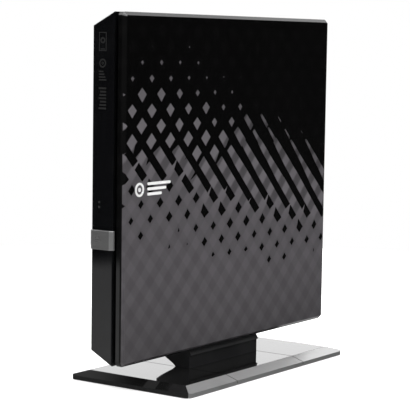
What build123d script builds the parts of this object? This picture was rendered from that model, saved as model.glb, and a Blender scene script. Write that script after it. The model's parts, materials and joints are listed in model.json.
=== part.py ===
"""External slim optical drive standing in its desk stand.

Frame: +X towards the patterned cover, -Y towards the front bezel, +Z up, millimetres.
The origin is the middle of the underside. X is the drive's thickness direction.
"""
from build123d import *
import os
from math import sqrt

os.makedirs("parts", exist_ok=True)

# ---------------------------------------------------------------- driving dimensions
DEPTH = 155.0                # enclosure, front to back (Y)
HEIGHT = 142.0               # enclosure, upright height (Z)
FRONT_Y = -77.0              # front plane of bezel and cover
REAR_Y = FRONT_Y + DEPTH
BOTTOM_Z = 12.6              # lower edge of the upright enclosure
MID_Y = FRONT_Y + DEPTH / 2
MID_Z = BOTTOM_Z + HEIGHT / 2
HALF_H = HEIGHT / 2

COVER_FACE_X = 9.5           # outer face of the patterned cover
COVER_EDGE_X = 6.3           # back edge of the cover's rim
COVER_SKIN = 1.6
COVER_BEVEL = 1.4
COVER_CORNER_R = 2.0
CASE_TOP_X = 4.2             # where the tapered case and the bezel begin
BEZEL_LOW_X = -6.5
CASE_FLOOR_X = -8.6          # outer face of the case floor
CASE_INNER_X = -7.2
TAPER = 5.5 / 10.7           # height lost per side for each mm below CASE_TOP_X
BEZEL_T = 2.8
BEZEL_BACK_Y = FRONT_Y + BEZEL_T
CASE_FRONT_Y = BEZEL_BACK_Y + 0.2
BAND_INSET = 2.0             # depth of the recessed band under the cover
FOOT_X = -11.0
FOOT_R = 5.0
FOOT_Y = (-66.0, 70.0)
FOOT_V = 54.0                # feet, above and below the middle

# slim drive inside
PAN_BOTTOM_X = -7.0
PAN_FLOOR_X = -6.5
PAN_TOP_X = 5.1
LID_X = 5.2
LID_T = 0.5
CHASSIS_FRONT_Y = -73.2
CHASSIS_REAR_Y = 52.3
PAN_HALF = 63.4
PAN_WALL = 0.5
TRAY_REAR_Y = 50.5
TRAY_HALF = 60.9
TRAY_BOTTOM_X = -5.0
DECK_X = -0.5
RIM_X = 3.4
FRONT_WALL_T = 1.2
RECESS_R = 60.5
RECESS_FLOOR_X = 1.4
SMALL_RECESS_R = 40.5
SMALL_FLOOR_X = 0.7
HUB_Y = -10.5
SKIRT_IN = 57.0
SKIRT_OUT = 59.0
RAIL_FRONT_Y = -71.0
RAIL_REAR_Y = 49.0
RAIL_IN = 59.2
RAIL_OUT = 60.8
GUIDE_IN = 61.0
GUIDE_OUT = 62.8
RAIL_X = (-4.6, -1.2)
TONGUE_X = (-3.5, -2.3)
TONGUE_REACH = 0.9
GROOVE_CLEAR = 0.15

# traverse, drawn along the diagonal that the pickup travels
DIAGONAL = 1 / sqrt(2)
ROD_X = -2.6
ROD_R = 1.0
ROD_W = 12.6
SCREW_W = 20.0
SCREW_R = 1.1
RUNNING = 0.05
LENS_U = 24.0
SHAFT_R = 1.5

# eject button and front indicators, measured up from the base
BUTTON_Z = 63.5
BUTTON_H = 7.9
BUTTON_PROUD = 1.0
BUTTON_T = 1.7
STEM_X = -1.6
STEM_SIZE = 2.0
LIGHT_X = -2.75
LIGHT_PITCH = 2.0
PINHOLE_Z = 74.7
LIGHT_R = 0.5

# stand
STAND_W = 62.4
STAND_L = 121.6
BORDER = 6.0
STAND_CORNER_R = 3.0
BASE_Z = 0.3
SLOPE_Z = 2.1
TOP_Z = 4.0
WING_Y = 26.0
SEAM = 0.5
PLATE_TOP_Z = 1.3
PAD_T = 0.5
NECK_X = (-1.2, 6.1)
NECK_SCREW_Y = 15.0
WING_SCREW = (16.0, 38.0)
SCREW_HEAD_R = 2.2
SCREW_SHANK_R = 1.1
NECK_SCREW_X = (NECK_X[0] + NECK_X[1]) / 2
SEGMENTS = (
    ("front", -STAND_L / 2, -WING_Y - SEAM / 2),
    ("middle", -WING_Y + SEAM / 2, WING_Y - SEAM / 2),
    ("rear", WING_Y + SEAM / 2, STAND_L / 2),
)

# boards, latch and traverse mounts
USB_Z = MID_Z + 30.0
BOARD_X = -5.1
BOARD_T = 1.2
PLUG_X = -2.3
LATCH_POST = (-57.5, -50.0)
LATCH_PIVOT = (-63.5, -44.0)
EARS = ((-21.0, 0.0), (50.0, 29.5), (20.0, -21.5))


# ---------------------------------------------------------------- shared helpers
def finish(piece, name):
    """Label a finished piece and write it to its own STEP file."""
    piece.part.label = name
    export_step(piece.part, f"parts/{name}.step")


def across(x):
    """Plane at a thickness x, drawn in (Y, Z), growing towards +X."""
    return Plane.YZ.offset(x)


def section(y):
    """Plane at a depth y, drawn in (X, Z), growing towards the front (-Y)."""
    return Plane.XZ.offset(-y)


def traverse_plane(x):
    """Plane at a thickness x, drawn in (u, w): u is the pickup's travel out from the hub."""
    return Plane(origin=(x, HUB_Y, MID_Z), x_dir=(0, -DIAGONAL, DIAGONAL), z_dir=(1, 0, 0))


def travel_plane(u, w=0.0, x=ROD_X):
    """Plane square to the pickup's travel at distance u, centred w beside the hub."""
    y = HUB_Y - DIAGONAL * (u + w)
    z = MID_Z + DIAGONAL * (u - w)
    return Plane(origin=(x, y, z), x_dir=(1, 0, 0), z_dir=(0, -DIAGONAL, DIAGONAL))


def yz_block(y0, y1, z0, z1):
    """Sketch rectangle on an across() plane, given by its limits."""
    with Locations(((y0 + y1) / 2, (z0 + z1) / 2)):
        Rectangle(y1 - y0, z1 - z0)


def uw_block(u0, u1, w0, w1):
    """Sketch rectangle on a traverse plane, given by its limits."""
    with Locations(((u0 + u1) / 2, (w0 + w1) / 2)):
        Rectangle(u1 - u0, w1 - w0)


def half_at(x):
    """Half height of the tapered case at thickness x."""
    return HALF_H - TAPER * (CASE_TOP_X - x)


def tapered_outline(x_low, x_top):
    """Trapezoid of the case or bezel in (X, Z)."""
    low = half_at(x_low)
    top = half_at(x_top)
    Polygon(
        (x_low, MID_Z - low),
        (x_top, MID_Z - top),
        (x_top, MID_Z + top),
        (x_low, MID_Z + low),
        align=None,
    )


# ---------------------------------------------------------------- enclosure
def make_cover_panel():
    skirt = COVER_SKIN
    with BuildPart() as panel:
        with BuildSketch(across(COVER_EDGE_X)):
            with Locations((MID_Y, MID_Z)):
                RectangleRounded(DEPTH, HEIGHT, COVER_CORNER_R)
        extrude(amount=COVER_FACE_X - COVER_EDGE_X)
        chamfer(panel.faces().sort_by(Axis.X)[-1].edges(), COVER_BEVEL)
        with BuildSketch(across(COVER_EDGE_X)):
            with Locations((MID_Y, MID_Z)):
                RectangleRounded(DEPTH - 2 * skirt, HEIGHT - 2 * skirt, COVER_CORNER_R / 2)
        extrude(amount=COVER_FACE_X - COVER_SKIN - COVER_EDGE_X, mode=Mode.SUBTRACT)
    finish(panel, "cover_panel")


def make_cover_badge():
    """A plain disc mark with three bars, standing a quarter of a millimetre proud."""
    mark_y = -66.6
    mark_z = 83.7
    disc_r = 2.85
    bar_start = mark_y + 5.2
    with BuildPart() as badge:
        with BuildSketch(across(COVER_FACE_X)):
            with Locations((mark_y, mark_z)):
                Circle(disc_r)
                Circle(disc_r - 0.9, mode=Mode.SUBTRACT)
                Circle(0.8)
            for row, length in ((1, 15.5), (0, 12.5), (-1, 9.5)):
                with Locations((bar_start + length / 2, mark_z + row * 2.1)):
                    SlotOverall(length, 1.15)
        extrude(amount=0.25)
    finish(badge, "cover_badge")


def make_upper_case():
    inset = 1.9
    ring = HALF_H - BAND_INSET
    wall = 1.6
    boss_r = 3.0
    side_low_x = 2.4
    with BuildPart() as case:
        with BuildSketch(across(COVER_EDGE_X + 0.2)):
            with Locations((MID_Y, MID_Z)):
                RectangleRounded(DEPTH - 2 * inset, HEIGHT - 2 * inset, 1.0)
        extrude(amount=1.3)
        with BuildSketch(across(CASE_TOP_X + 0.5)):
            with Locations((MID_Y, MID_Z)):
                Rectangle(DEPTH - 2 * BAND_INSET, 2 * ring)
                Rectangle(DEPTH - 2 * (BAND_INSET + wall), 2 * (ring - wall), mode=Mode.SUBTRACT)
        extrude(amount=COVER_EDGE_X + 0.2 - CASE_TOP_X - 0.5)
        with BuildSketch(across(side_low_x)):
            yz_block(CASE_FRONT_Y, REAR_Y - BAND_INSET, MID_Z - ring, MID_Z + ring)
            with BuildSketch(mode=Mode.PRIVATE) as inner:
                yz_block(
                    CASE_FRONT_Y - 1,
                    REAR_Y - BAND_INSET - wall,
                    MID_Z - ring + wall,
                    MID_Z + ring - wall,
                )
            add(inner.sketch, mode=Mode.SUBTRACT)
        extrude(amount=CASE_TOP_X + 0.5 - side_low_x)
        with BuildSketch(across(-0.8)):
            with Locations((FOOT_Y[1], MID_Z - FOOT_V), (FOOT_Y[1], MID_Z + FOOT_V)):
                Circle(boss_r)
                Circle(SCREW_SHANK_R + RUNNING, mode=Mode.SUBTRACT)
        extrude(amount=COVER_EDGE_X + 0.2 + 0.8)
    finish(case, "upper_case")


def make_bottom_case():
    rear_wall = 1.8
    tongue_x = 2.0
    tongue_half = 69.15
    floor_half = 64.1
    shoulder_half = 68.3
    board_posts = ((60.0, -38.0), (60.0, 34.0), (72.0, -38.0), (72.0, 14.0))
    bracket_posts = ((57.0, -54.0), (57.0, 54.0))
    with BuildPart() as case:
        with BuildSketch(section(REAR_Y)):
            tapered_outline(CASE_FLOOR_X, CASE_TOP_X)
        extrude(amount=REAR_Y - CASE_FRONT_Y)
        low_edges = case.edges().filter_by(Axis.Y).group_by(Axis.X)[0]
        fillet(low_edges, 1.0)
        with BuildSketch(section(REAR_Y - rear_wall)):
            Polygon(
                (CASE_INNER_X, MID_Z - floor_half),
                (tongue_x, MID_Z - shoulder_half),
                (tongue_x, MID_Z - tongue_half),
                (CASE_TOP_X, MID_Z - tongue_half),
                (CASE_TOP_X, MID_Z + tongue_half),
                (tongue_x, MID_Z + tongue_half),
                (tongue_x, MID_Z + shoulder_half),
                (CASE_INNER_X, MID_Z + floor_half),
                align=None,
            )
        extrude(amount=REAR_Y - rear_wall - CASE_FRONT_Y, mode=Mode.SUBTRACT)
        with BuildSketch(across(CASE_INNER_X)):
            with Locations((FOOT_Y[1], MID_Z - FOOT_V), (FOOT_Y[1], MID_Z + FOOT_V)):
                Circle(3.6)
        extrude(amount=6.2)
        with BuildSketch(across(CASE_INNER_X)):
            for y, v in board_posts:
                with Locations((y, MID_Z + v)):
                    Circle(1.8)
        extrude(amount=BOARD_X - CASE_INNER_X)
        with BuildSketch(across(CASE_INNER_X)):
            for y, v in bracket_posts:
                with Locations((y, MID_Z + v)):
                    Circle(2.6)
                    Circle(0.85, mode=Mode.SUBTRACT)
        extrude(amount=2.2)
        with BuildSketch(across(CASE_FLOOR_X)):
            for y in FOOT_Y:
                with Locations((y, MID_Z - FOOT_V), (y, MID_Z + FOOT_V)):
                    Circle(FOOT_R + 0.1)
        extrude(amount=0.4, mode=Mode.SUBTRACT)
        with BuildSketch(across(CASE_FLOOR_X)):
            with Locations((FOOT_Y[1], MID_Z - FOOT_V), (FOOT_Y[1], MID_Z + FOOT_V)):
                Circle(SCREW_HEAD_R + 0.2)
        extrude(amount=3.6, mode=Mode.SUBTRACT)
        with BuildSketch(across(CASE_FLOOR_X)):
            with Locations((FOOT_Y[1], MID_Z - FOOT_V), (FOOT_Y[1], MID_Z + FOOT_V)):
                Circle(SCREW_SHANK_R + 0.15)
        extrude(amount=8.0, mode=Mode.SUBTRACT)
        with BuildSketch(section(REAR_Y)):
            with Locations((-1.9, USB_Z)):
                RectangleRounded(4.3, 8.0, 0.6)
        extrude(amount=rear_wall, mode=Mode.SUBTRACT)
    finish(case, "bottom_case")


def make_case_screws():
    with BuildPart() as screws:
        for v in (-FOOT_V, FOOT_V):
            with BuildSketch(across(-6.2)):
                with Locations((FOOT_Y[1], MID_Z + v)):
                    Circle(SCREW_HEAD_R)
            extrude(amount=1.2)
            with BuildSketch(across(-5.0)):
                with Locations((FOOT_Y[1], MID_Z + v)):
                    Circle(SCREW_SHANK_R)
            extrude(amount=9.0)
            with BuildSketch(across(-6.2)):
                with Locations((FOOT_Y[1], MID_Z + v)):
                    Rectangle(2.4, 0.5)
                    Rectangle(0.5, 2.4)
            extrude(amount=0.6, mode=Mode.SUBTRACT)
    finish(screws, "case_screws")


def make_rubber_feet():
    with BuildPart() as feet:
        with BuildSketch(across(FOOT_X)):
            for y in FOOT_Y:
                with Locations((y, MID_Z - FOOT_V), (y, MID_Z + FOOT_V)):
                    Circle(FOOT_R)
        extrude(amount=CASE_FLOOR_X + 0.4 - FOOT_X)
        fillet(feet.edges().filter_by(GeomType.CIRCLE).group_by(Axis.X)[0], 0.8)
    finish(feet, "rubber_feet")


# ---------------------------------------------------------------- rear electronics


def make_bridge_board():
    with BuildPart() as board:
        with BuildSketch(across(BOARD_X)):
            yz_block(54.0, 75.6, MID_Z - 46.0, MID_Z + 42.0)
        extrude(amount=BOARD_T)
        fillet(board.edges().filter_by(Axis.X), 1.0)
    finish(board, "bridge_board")
    with BuildPart() as chips:
        with BuildSketch(across(BOARD_X + BOARD_T)):
            yz_block(61.0, 70.0, MID_Z - 8.0, MID_Z + 1.0)
            yz_block(62.0, 67.0, MID_Z + 8.0, MID_Z + 14.0)
            yz_block(58.0, 60.2, MID_Z + 17.0, MID_Z + 22.0)
            with Locations((66.0, MID_Z - 16.0), (66.0, MID_Z - 22.5)):
                Circle(2.4)
        extrude(amount=1.2)
        chamfer(chips.faces().sort_by(Axis.X)[-1].edges(), 0.15)
    finish(chips, "bridge_chips")


def make_usb_socket():
    low_x = BOARD_X + BOARD_T
    wall = 0.4
    depth = 8.4
    with BuildPart() as shell:
        with BuildSketch(section(REAR_Y - 0.4)):
            with Locations((low_x + 2.0, USB_Z)):
                RectangleRounded(3.9, 7.6, 0.5)
                RectangleRounded(3.9 - 2 * wall, 7.6 - 2 * wall, 0.3, mode=Mode.SUBTRACT)
        extrude(amount=depth)
        with BuildSketch(section(REAR_Y - 0.4 - depth + 0.6)):
            with Locations((low_x + 2.0, USB_Z)):
                Rectangle(3.5, 7.2)
        extrude(amount=0.6)
    finish(shell, "usb_socket")
    with BuildPart() as tongue:
        with BuildSketch(section(REAR_Y - 1.6)):
            with Locations((low_x + 2.0, USB_Z)):
                Rectangle(0.9, 4.6)
        extrude(amount=depth - 1.8)
    finish(tongue, "usb_tongue")


def make_sata_pair():
    """Power and data socket on the bridge board and the plug on the drive's rear board."""
    with BuildPart() as socket:
        with BuildSketch(section(58.6)):
            with Locations((PLUG_X, MID_Z - 33.0)):
                Rectangle(3.2, 24.0)
        extrude(amount=5.8)
        with BuildSketch(section(52.8 + 3.0)):
            with Locations((PLUG_X, MID_Z - 33.0)):
                Rectangle(1.4, 21.0)
        extrude(amount=3.0, mode=Mode.SUBTRACT)
    finish(socket, "sata_socket")
    with BuildPart() as plug:
        with BuildSketch(section(52.6)):
            with Locations((PLUG_X, MID_Z - 33.0)):
                Rectangle(3.0, 23.0)
        extrude(amount=4.8)
        with BuildSketch(section(55.2)):
            with Locations((PLUG_X, MID_Z - 33.0)):
                Rectangle(0.9, 20.0)
        extrude(amount=2.6)
    finish(plug, "drive_connector")
    with BuildPart() as board:
        with BuildSketch(across(BOARD_X + 0.3)):
            yz_block(45.0, 51.0, MID_Z - 50.0, MID_Z - 18.0)
        extrude(amount=0.8)
    finish(board, "rear_board")
    with BuildPart() as flex:
        with BuildSketch(across(PAN_FLOOR_X + 0.1)):
            yz_block(-28.0, 46.0, MID_Z - 44.0, MID_Z - 32.0)
        extrude(amount=0.2)
    finish(flex, "flex_cable")


# ---------------------------------------------------------------- slim drive chassis
def make_chassis_pan():
    rear_in = CHASSIS_REAR_Y - PAN_WALL
    with BuildPart() as pan:
        with BuildSketch(across(PAN_BOTTOM_X)):
            yz_block(CHASSIS_FRONT_Y, CHASSIS_REAR_Y, MID_Z - PAN_HALF, MID_Z + PAN_HALF)
        extrude(amount=PAN_FLOOR_X - PAN_BOTTOM_X)
        with BuildSketch(across(PAN_FLOOR_X)):
            yz_block(CHASSIS_FRONT_Y, CHASSIS_REAR_Y, MID_Z - PAN_HALF, MID_Z + PAN_HALF)
            inner_half = PAN_HALF - PAN_WALL
            with BuildSketch(mode=Mode.PRIVATE) as inner:
                yz_block(CHASSIS_FRONT_Y - 1, rear_in, MID_Z - inner_half, MID_Z + inner_half)
            add(inner.sketch, mode=Mode.SUBTRACT)
        extrude(amount=PAN_TOP_X - PAN_FLOOR_X)
        with BuildSketch(across(PAN_TOP_X - PAN_WALL)):
            for y in (CHASSIS_FRONT_Y + 3.0, rear_in - 3.0):
                for side in (-1, 1):
                    with Locations((y, MID_Z + side * (PAN_HALF - 3.0))):
                        Rectangle(6.0, 6.0)
                        Circle(0.85, mode=Mode.SUBTRACT)
        extrude(amount=PAN_WALL)
        with BuildSketch(section(CHASSIS_REAR_Y)):
            with Locations((-2.4, MID_Z - 33.0)):
                Rectangle(5.2, 26.0)
        extrude(amount=PAN_WALL, mode=Mode.SUBTRACT)
        with BuildSketch(across(PAN_BOTTOM_X)):
            with Locations((-40.0, MID_Z + 36.0), (10.0, MID_Z + 36.0), (10.0, MID_Z + 4.0)):
                SlotOverall(30.0, 3.0)
        extrude(amount=PAN_FLOOR_X - PAN_BOTTOM_X, mode=Mode.SUBTRACT)
    finish(pan, "chassis_pan")


def make_chassis_lid():
    flange_half = PAN_HALF + 0.5
    flange_in = PAN_HALF + 0.1
    chassis_mid_y = (CHASSIS_FRONT_Y + CHASSIS_REAR_Y) / 2
    with BuildPart() as lid:
        with BuildSketch(across(LID_X)):
            yz_block(CHASSIS_FRONT_Y, CHASSIS_REAR_Y, MID_Z - flange_half, MID_Z + flange_half)
            for y in (CHASSIS_FRONT_Y + 3.0, CHASSIS_REAR_Y - PAN_WALL - 3.0):
                for side in (-1, 1):
                    with Locations((y, MID_Z + side * (PAN_HALF - 3.0))):
                        Circle(1.1, mode=Mode.SUBTRACT)
        extrude(amount=LID_T)
        with BuildSketch(across(1.5)):
            for side in (-1, 1):
                with Locations((chassis_mid_y, MID_Z + side * (flange_half + flange_in) / 2)):
                    Rectangle(CHASSIS_REAR_Y - CHASSIS_FRONT_Y, flange_half - flange_in)
        extrude(amount=LID_X - 1.5)
        with BuildSketch(across(LID_X + LID_T)):
            with Locations((HUB_Y, MID_Z)):
                Circle(52.0)
                Circle(49.0, mode=Mode.SUBTRACT)
                Circle(20.0)
                Circle(17.0, mode=Mode.SUBTRACT)
        extrude(amount=0.3)
    finish(lid, "chassis_lid")
    with BuildPart() as screws:
        for y in (CHASSIS_FRONT_Y + 3.0, CHASSIS_REAR_Y - PAN_WALL - 3.0):
            for side in (-1, 1):
                spot = (y, MID_Z + side * (PAN_HALF - 3.0))
                with BuildSketch(across(LID_X + LID_T)):
                    with Locations(spot):
                        Circle(1.8)
                extrude(amount=0.6)
                with BuildSketch(across(4.1)):
                    with Locations(spot):
                        Circle(0.8)
                extrude(amount=LID_X + LID_T - 4.1)
                with BuildSketch(across(LID_X + LID_T + 0.2)):
                    with Locations(spot):
                        Rectangle(2.0, 0.4)
                        Rectangle(0.4, 2.0)
                extrude(amount=0.4, mode=Mode.SUBTRACT)
    finish(screws, "chassis_screws")


def make_rails():
    """Fixed guides on the pan walls and the telescopic rails that run in them."""
    for name, side in (("upper", 1), ("lower", -1)):
        with BuildPart() as guide:
            with BuildSketch(section(RAIL_REAR_Y + 1.0)):
                with Locations((-3.1, MID_Z + side * (GUIDE_IN + GUIDE_OUT) / 2)):
                    Rectangle(4.6, GUIDE_OUT - GUIDE_IN)
                with Locations(((TONGUE_X[0] + TONGUE_X[1]) / 2, MID_Z + side * (GUIDE_IN + 0.5))):
                    Rectangle(TONGUE_X[1] - TONGUE_X[0] + 2 * GROOVE_CLEAR, 1.0, mode=Mode.SUBTRACT)
            extrude(amount=RAIL_REAR_Y - RAIL_FRONT_Y + 2.0)
        finish(guide, f"rail_guide_{name}")
        with BuildPart() as rail:
            with BuildSketch(section(RAIL_REAR_Y)):
                rail_z = MID_Z + side * (RAIL_IN + RAIL_OUT) / 2
                with Locations(((RAIL_X[0] + RAIL_X[1]) / 2, rail_z)):
                    Rectangle(RAIL_X[1] - RAIL_X[0], RAIL_OUT - RAIL_IN)
                with Locations(((TONGUE_X[0] + TONGUE_X[1]) / 2, rail_z)):
                    Rectangle(TONGUE_X[1] - TONGUE_X[0], RAIL_OUT - RAIL_IN + 2 * TONGUE_REACH)
            extrude(amount=RAIL_REAR_Y - RAIL_FRONT_Y)
        finish(rail, f"rail_{name}")


def make_brackets():
    """Two angle brackets that hold the chassis to posts in the bottom case."""
    with BuildPart() as brackets:
        for side in (-1, 1):
            with BuildSketch(across(-5.0)):
                with Locations((57.2, MID_Z + side * 54.0)):
                    Rectangle(9.2, 11.0)
                with Locations((57.0, MID_Z + side * 54.0)):
                    Circle(0.95, mode=Mode.SUBTRACT)
            extrude(amount=0.6)
            with BuildSketch(section(53.2)):
                with Locations((-1.5, MID_Z + side * 54.0)):
                    Rectangle(7.0, 11.0)
            extrude(amount=0.8)
    finish(brackets, "drive_brackets")
    with BuildPart() as screws:
        for side in (-1, 1):
            with BuildSketch(across(-4.4)):
                with Locations((57.0, MID_Z + side * 54.0)):
                    Circle(1.8)
            extrude(amount=1.0)
            with BuildSketch(across(-7.0)):
                with Locations((57.0, MID_Z + side * 54.0)):
                    Circle(0.8)
            extrude(amount=2.6)
    finish(screws, "bracket_screws")


def make_latch_post():
    with BuildPart() as post:
        with BuildSketch(across(PAN_FLOOR_X)):
            with Locations((LATCH_POST[0], MID_Z + LATCH_POST[1])):
                Circle(1.2)
        extrude(amount=2.5)
    finish(post, "latch_post")


# ---------------------------------------------------------------- tray and bezel


def make_disc_tray():
    wall_back = BEZEL_BACK_Y + FRONT_WALL_T
    with BuildPart() as tray:
        with BuildSketch(across(DECK_X)):
            yz_block(BEZEL_BACK_Y, TRAY_REAR_Y, MID_Z - TRAY_HALF, MID_Z + TRAY_HALF)
        extrude(amount=RIM_X - DECK_X)
        with BuildSketch(across(RECESS_FLOOR_X)):
            with Locations((HUB_Y, MID_Z)):
                Circle(RECESS_R)
        extrude(amount=RIM_X - RECESS_FLOOR_X, mode=Mode.SUBTRACT)
        with BuildSketch(across(SMALL_FLOOR_X)):
            with Locations((HUB_Y, MID_Z)):
                Circle(SMALL_RECESS_R)
            with Locations((BEZEL_BACK_Y + 14.0, MID_Z - 52.0), (BEZEL_BACK_Y + 14.0, MID_Z + 52.0)):
                Circle(8.5)
        extrude(amount=RIM_X - SMALL_FLOOR_X, mode=Mode.SUBTRACT)
        with BuildSketch(traverse_plane(DECK_X)):
            uw_block(-18.0, 58.0, -19.0, 27.0)
            Circle(57.0, mode=Mode.INTERSECT)
            uw_block(17.0, 63.5, -6.2, 6.2)
        extrude(amount=RIM_X - DECK_X, mode=Mode.SUBTRACT)
        with BuildSketch(across(TRAY_BOTTOM_X)):
            yz_block(BEZEL_BACK_Y, wall_back, MID_Z - TRAY_HALF, MID_Z + TRAY_HALF)
        extrude(amount=DECK_X - TRAY_BOTTOM_X)
        for side in (-1, 1):
            middle = MID_Z + side * (SKIRT_IN + SKIRT_OUT) / 2
            groove = MID_Z + side * (SKIRT_OUT - 0.5)
            with BuildSketch(section(TRAY_REAR_Y - 2.0)):
                with Locations(((TRAY_BOTTOM_X + DECK_X) / 2, middle)):
                    Rectangle(DECK_X - TRAY_BOTTOM_X, SKIRT_OUT - SKIRT_IN)
                with Locations(((TONGUE_X[0] + TONGUE_X[1]) / 2, groove)):
                    Rectangle(TONGUE_X[1] - TONGUE_X[0] + 2 * GROOVE_CLEAR, 1.0, mode=Mode.SUBTRACT)
            extrude(amount=TRAY_REAR_Y - 2.0 - wall_back)
        with BuildSketch(traverse_plane(-3.0)):
            for ear in EARS:
                with Locations(ear):
                    Circle(2.2)
                    Circle(1.05, mode=Mode.SUBTRACT)
        extrude(amount=DECK_X + 3.0)
        with BuildSketch(across(-5.3)):
            with Locations((LATCH_PIVOT[0], MID_Z + LATCH_PIVOT[1])):
                Circle(1.2)
        extrude(amount=DECK_X + 5.3)
        with BuildSketch(section(wall_back)):
            with Locations((STEM_X, BUTTON_Z)):
                Rectangle(STEM_SIZE + 0.5, STEM_SIZE + 0.5)
            with Locations((LIGHT_X, PINHOLE_Z)):
                Circle(0.7)
        extrude(amount=FRONT_WALL_T, mode=Mode.SUBTRACT)
    finish(tray, "disc_tray")


def make_bezel():
    notch_floor = FRONT_Y + 1.6
    with BuildPart() as bezel:
        with BuildSketch(section(BEZEL_BACK_Y)):
            tapered_outline(BEZEL_LOW_X, CASE_TOP_X)
        extrude(amount=BEZEL_T)
        front = bezel.faces().sort_by(Axis.Y)[0]
        fillet(front.edges(), 0.45)
        with BuildSketch(section(notch_floor)):
            with Locations((0.0, BUTTON_Z)):
                Rectangle(40.0, BUTTON_H + 0.3)
        extrude(amount=3.0, mode=Mode.SUBTRACT)
        with BuildSketch(section(BEZEL_BACK_Y)):
            with Locations((STEM_X, BUTTON_Z)):
                Rectangle(STEM_SIZE + 0.5, STEM_SIZE + 0.5)
            with Locations((LIGHT_X, PINHOLE_Z)):
                Circle(0.5)
            with Locations((LIGHT_X, PINHOLE_Z + LIGHT_PITCH), (LIGHT_X, PINHOLE_Z + 2 * LIGHT_PITCH)):
                Circle(LIGHT_R + 0.02)
        extrude(amount=BEZEL_T + 1.0, mode=Mode.SUBTRACT)
    finish(bezel, "tray_bezel")
    with BuildPart() as pipes:
        with BuildSketch(section(BEZEL_BACK_Y)):
            with Locations((LIGHT_X, PINHOLE_Z + LIGHT_PITCH), (LIGHT_X, PINHOLE_Z + 2 * LIGHT_PITCH)):
                Circle(LIGHT_R)
        extrude(amount=BEZEL_T - 0.05)
    finish(pipes, "light_pipes")


def make_eject_button():
    front_y = FRONT_Y - BUTTON_PROUD
    back_y = front_y + BUTTON_T
    low_x = BEZEL_LOW_X + 0.1
    top_x = 4.8
    with BuildPart() as button:
        with BuildSketch(section(back_y)):
            with Locations(((low_x + top_x) / 2, BUTTON_Z)):
                Rectangle(top_x - low_x, BUTTON_H)
        extrude(amount=BUTTON_T)
        fillet(button.faces().sort_by(Axis.Y)[0].edges(), 0.35)
        with BuildSketch(section(BEZEL_BACK_Y + FRONT_WALL_T)):
            with Locations((STEM_X, BUTTON_Z)):
                Rectangle(STEM_SIZE, STEM_SIZE)
        extrude(amount=BEZEL_BACK_Y + FRONT_WALL_T - back_y)
    finish(button, "eject_button")


def make_tray_board():
    with BuildPart() as board:
        with BuildSketch(across(-3.0)):
            Polygon(
                (44.0, MID_Z - 56.0),
                (44.0, MID_Z - 34.0),
                (-24.0, MID_Z - 34.0),
                (-56.0, MID_Z - 14.0),
                (-72.0, MID_Z - 14.0),
                (-72.0, MID_Z - 34.0),
                (-46.0, MID_Z - 36.0),
                (-37.0, MID_Z - 56.0),
                align=None,
            )
        extrude(amount=1.0)
    finish(board, "tray_board")
    with BuildPart() as chips:
        with BuildSketch(across(-3.8)):
            yz_block(-26.0, -14.0, MID_Z - 47.5, MID_Z - 36.5)
            yz_block(-6.0, 4.0, MID_Z - 47.0, MID_Z - 38.0)
            yz_block(12.0, 18.0, MID_Z - 45.0, MID_Z - 40.0)
            yz_block(24.0, 34.0, MID_Z - 46.5, MID_Z - 37.5)
            yz_block(-62.0, -56.0, MID_Z - 28.0, MID_Z - 22.0)
        extrude(amount=0.8)
        chamfer(chips.faces().sort_by(Axis.X)[0].edges(), 0.15)
    finish(chips, "tray_chips")
    with BuildPart() as switch:
        with BuildSketch(across(-2.0)):
            yz_block(-71.9, -68.4, BUTTON_Z - 2.2, BUTTON_Z + 2.2)
        extrude(amount=1.4)
    finish(switch, "eject_switch")


def make_latch():
    with BuildPart() as solenoid:
        with BuildSketch(section(-39.5)):
            with Locations((-4.05, MID_Z - 42.5)):
                RectangleRounded(1.8, 6.0, 0.5)
        extrude(amount=11.0)
    finish(solenoid, "latch_solenoid")
    py, pv = LATCH_PIVOT
    with BuildPart() as lever:
        with BuildSketch(across(-5.0)):
            with Locations((py, MID_Z + pv)):
                Circle(2.4)
            Polygon(
                (py, MID_Z + pv + 1.6),
                (py + 10.6, MID_Z + pv + 0.2),
                (py + 10.6, MID_Z + pv - 3.9),
                (py + 8.4, MID_Z + pv - 3.9),
                (py + 8.2, MID_Z + pv - 1.6),
                (py, MID_Z + pv - 1.6),
                align=None,
            )
            with Locations((py, MID_Z + pv)):
                Circle(1.2 + RUNNING, mode=Mode.SUBTRACT)
        extrude(amount=0.9)
    finish(lever, "latch_lever")


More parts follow.
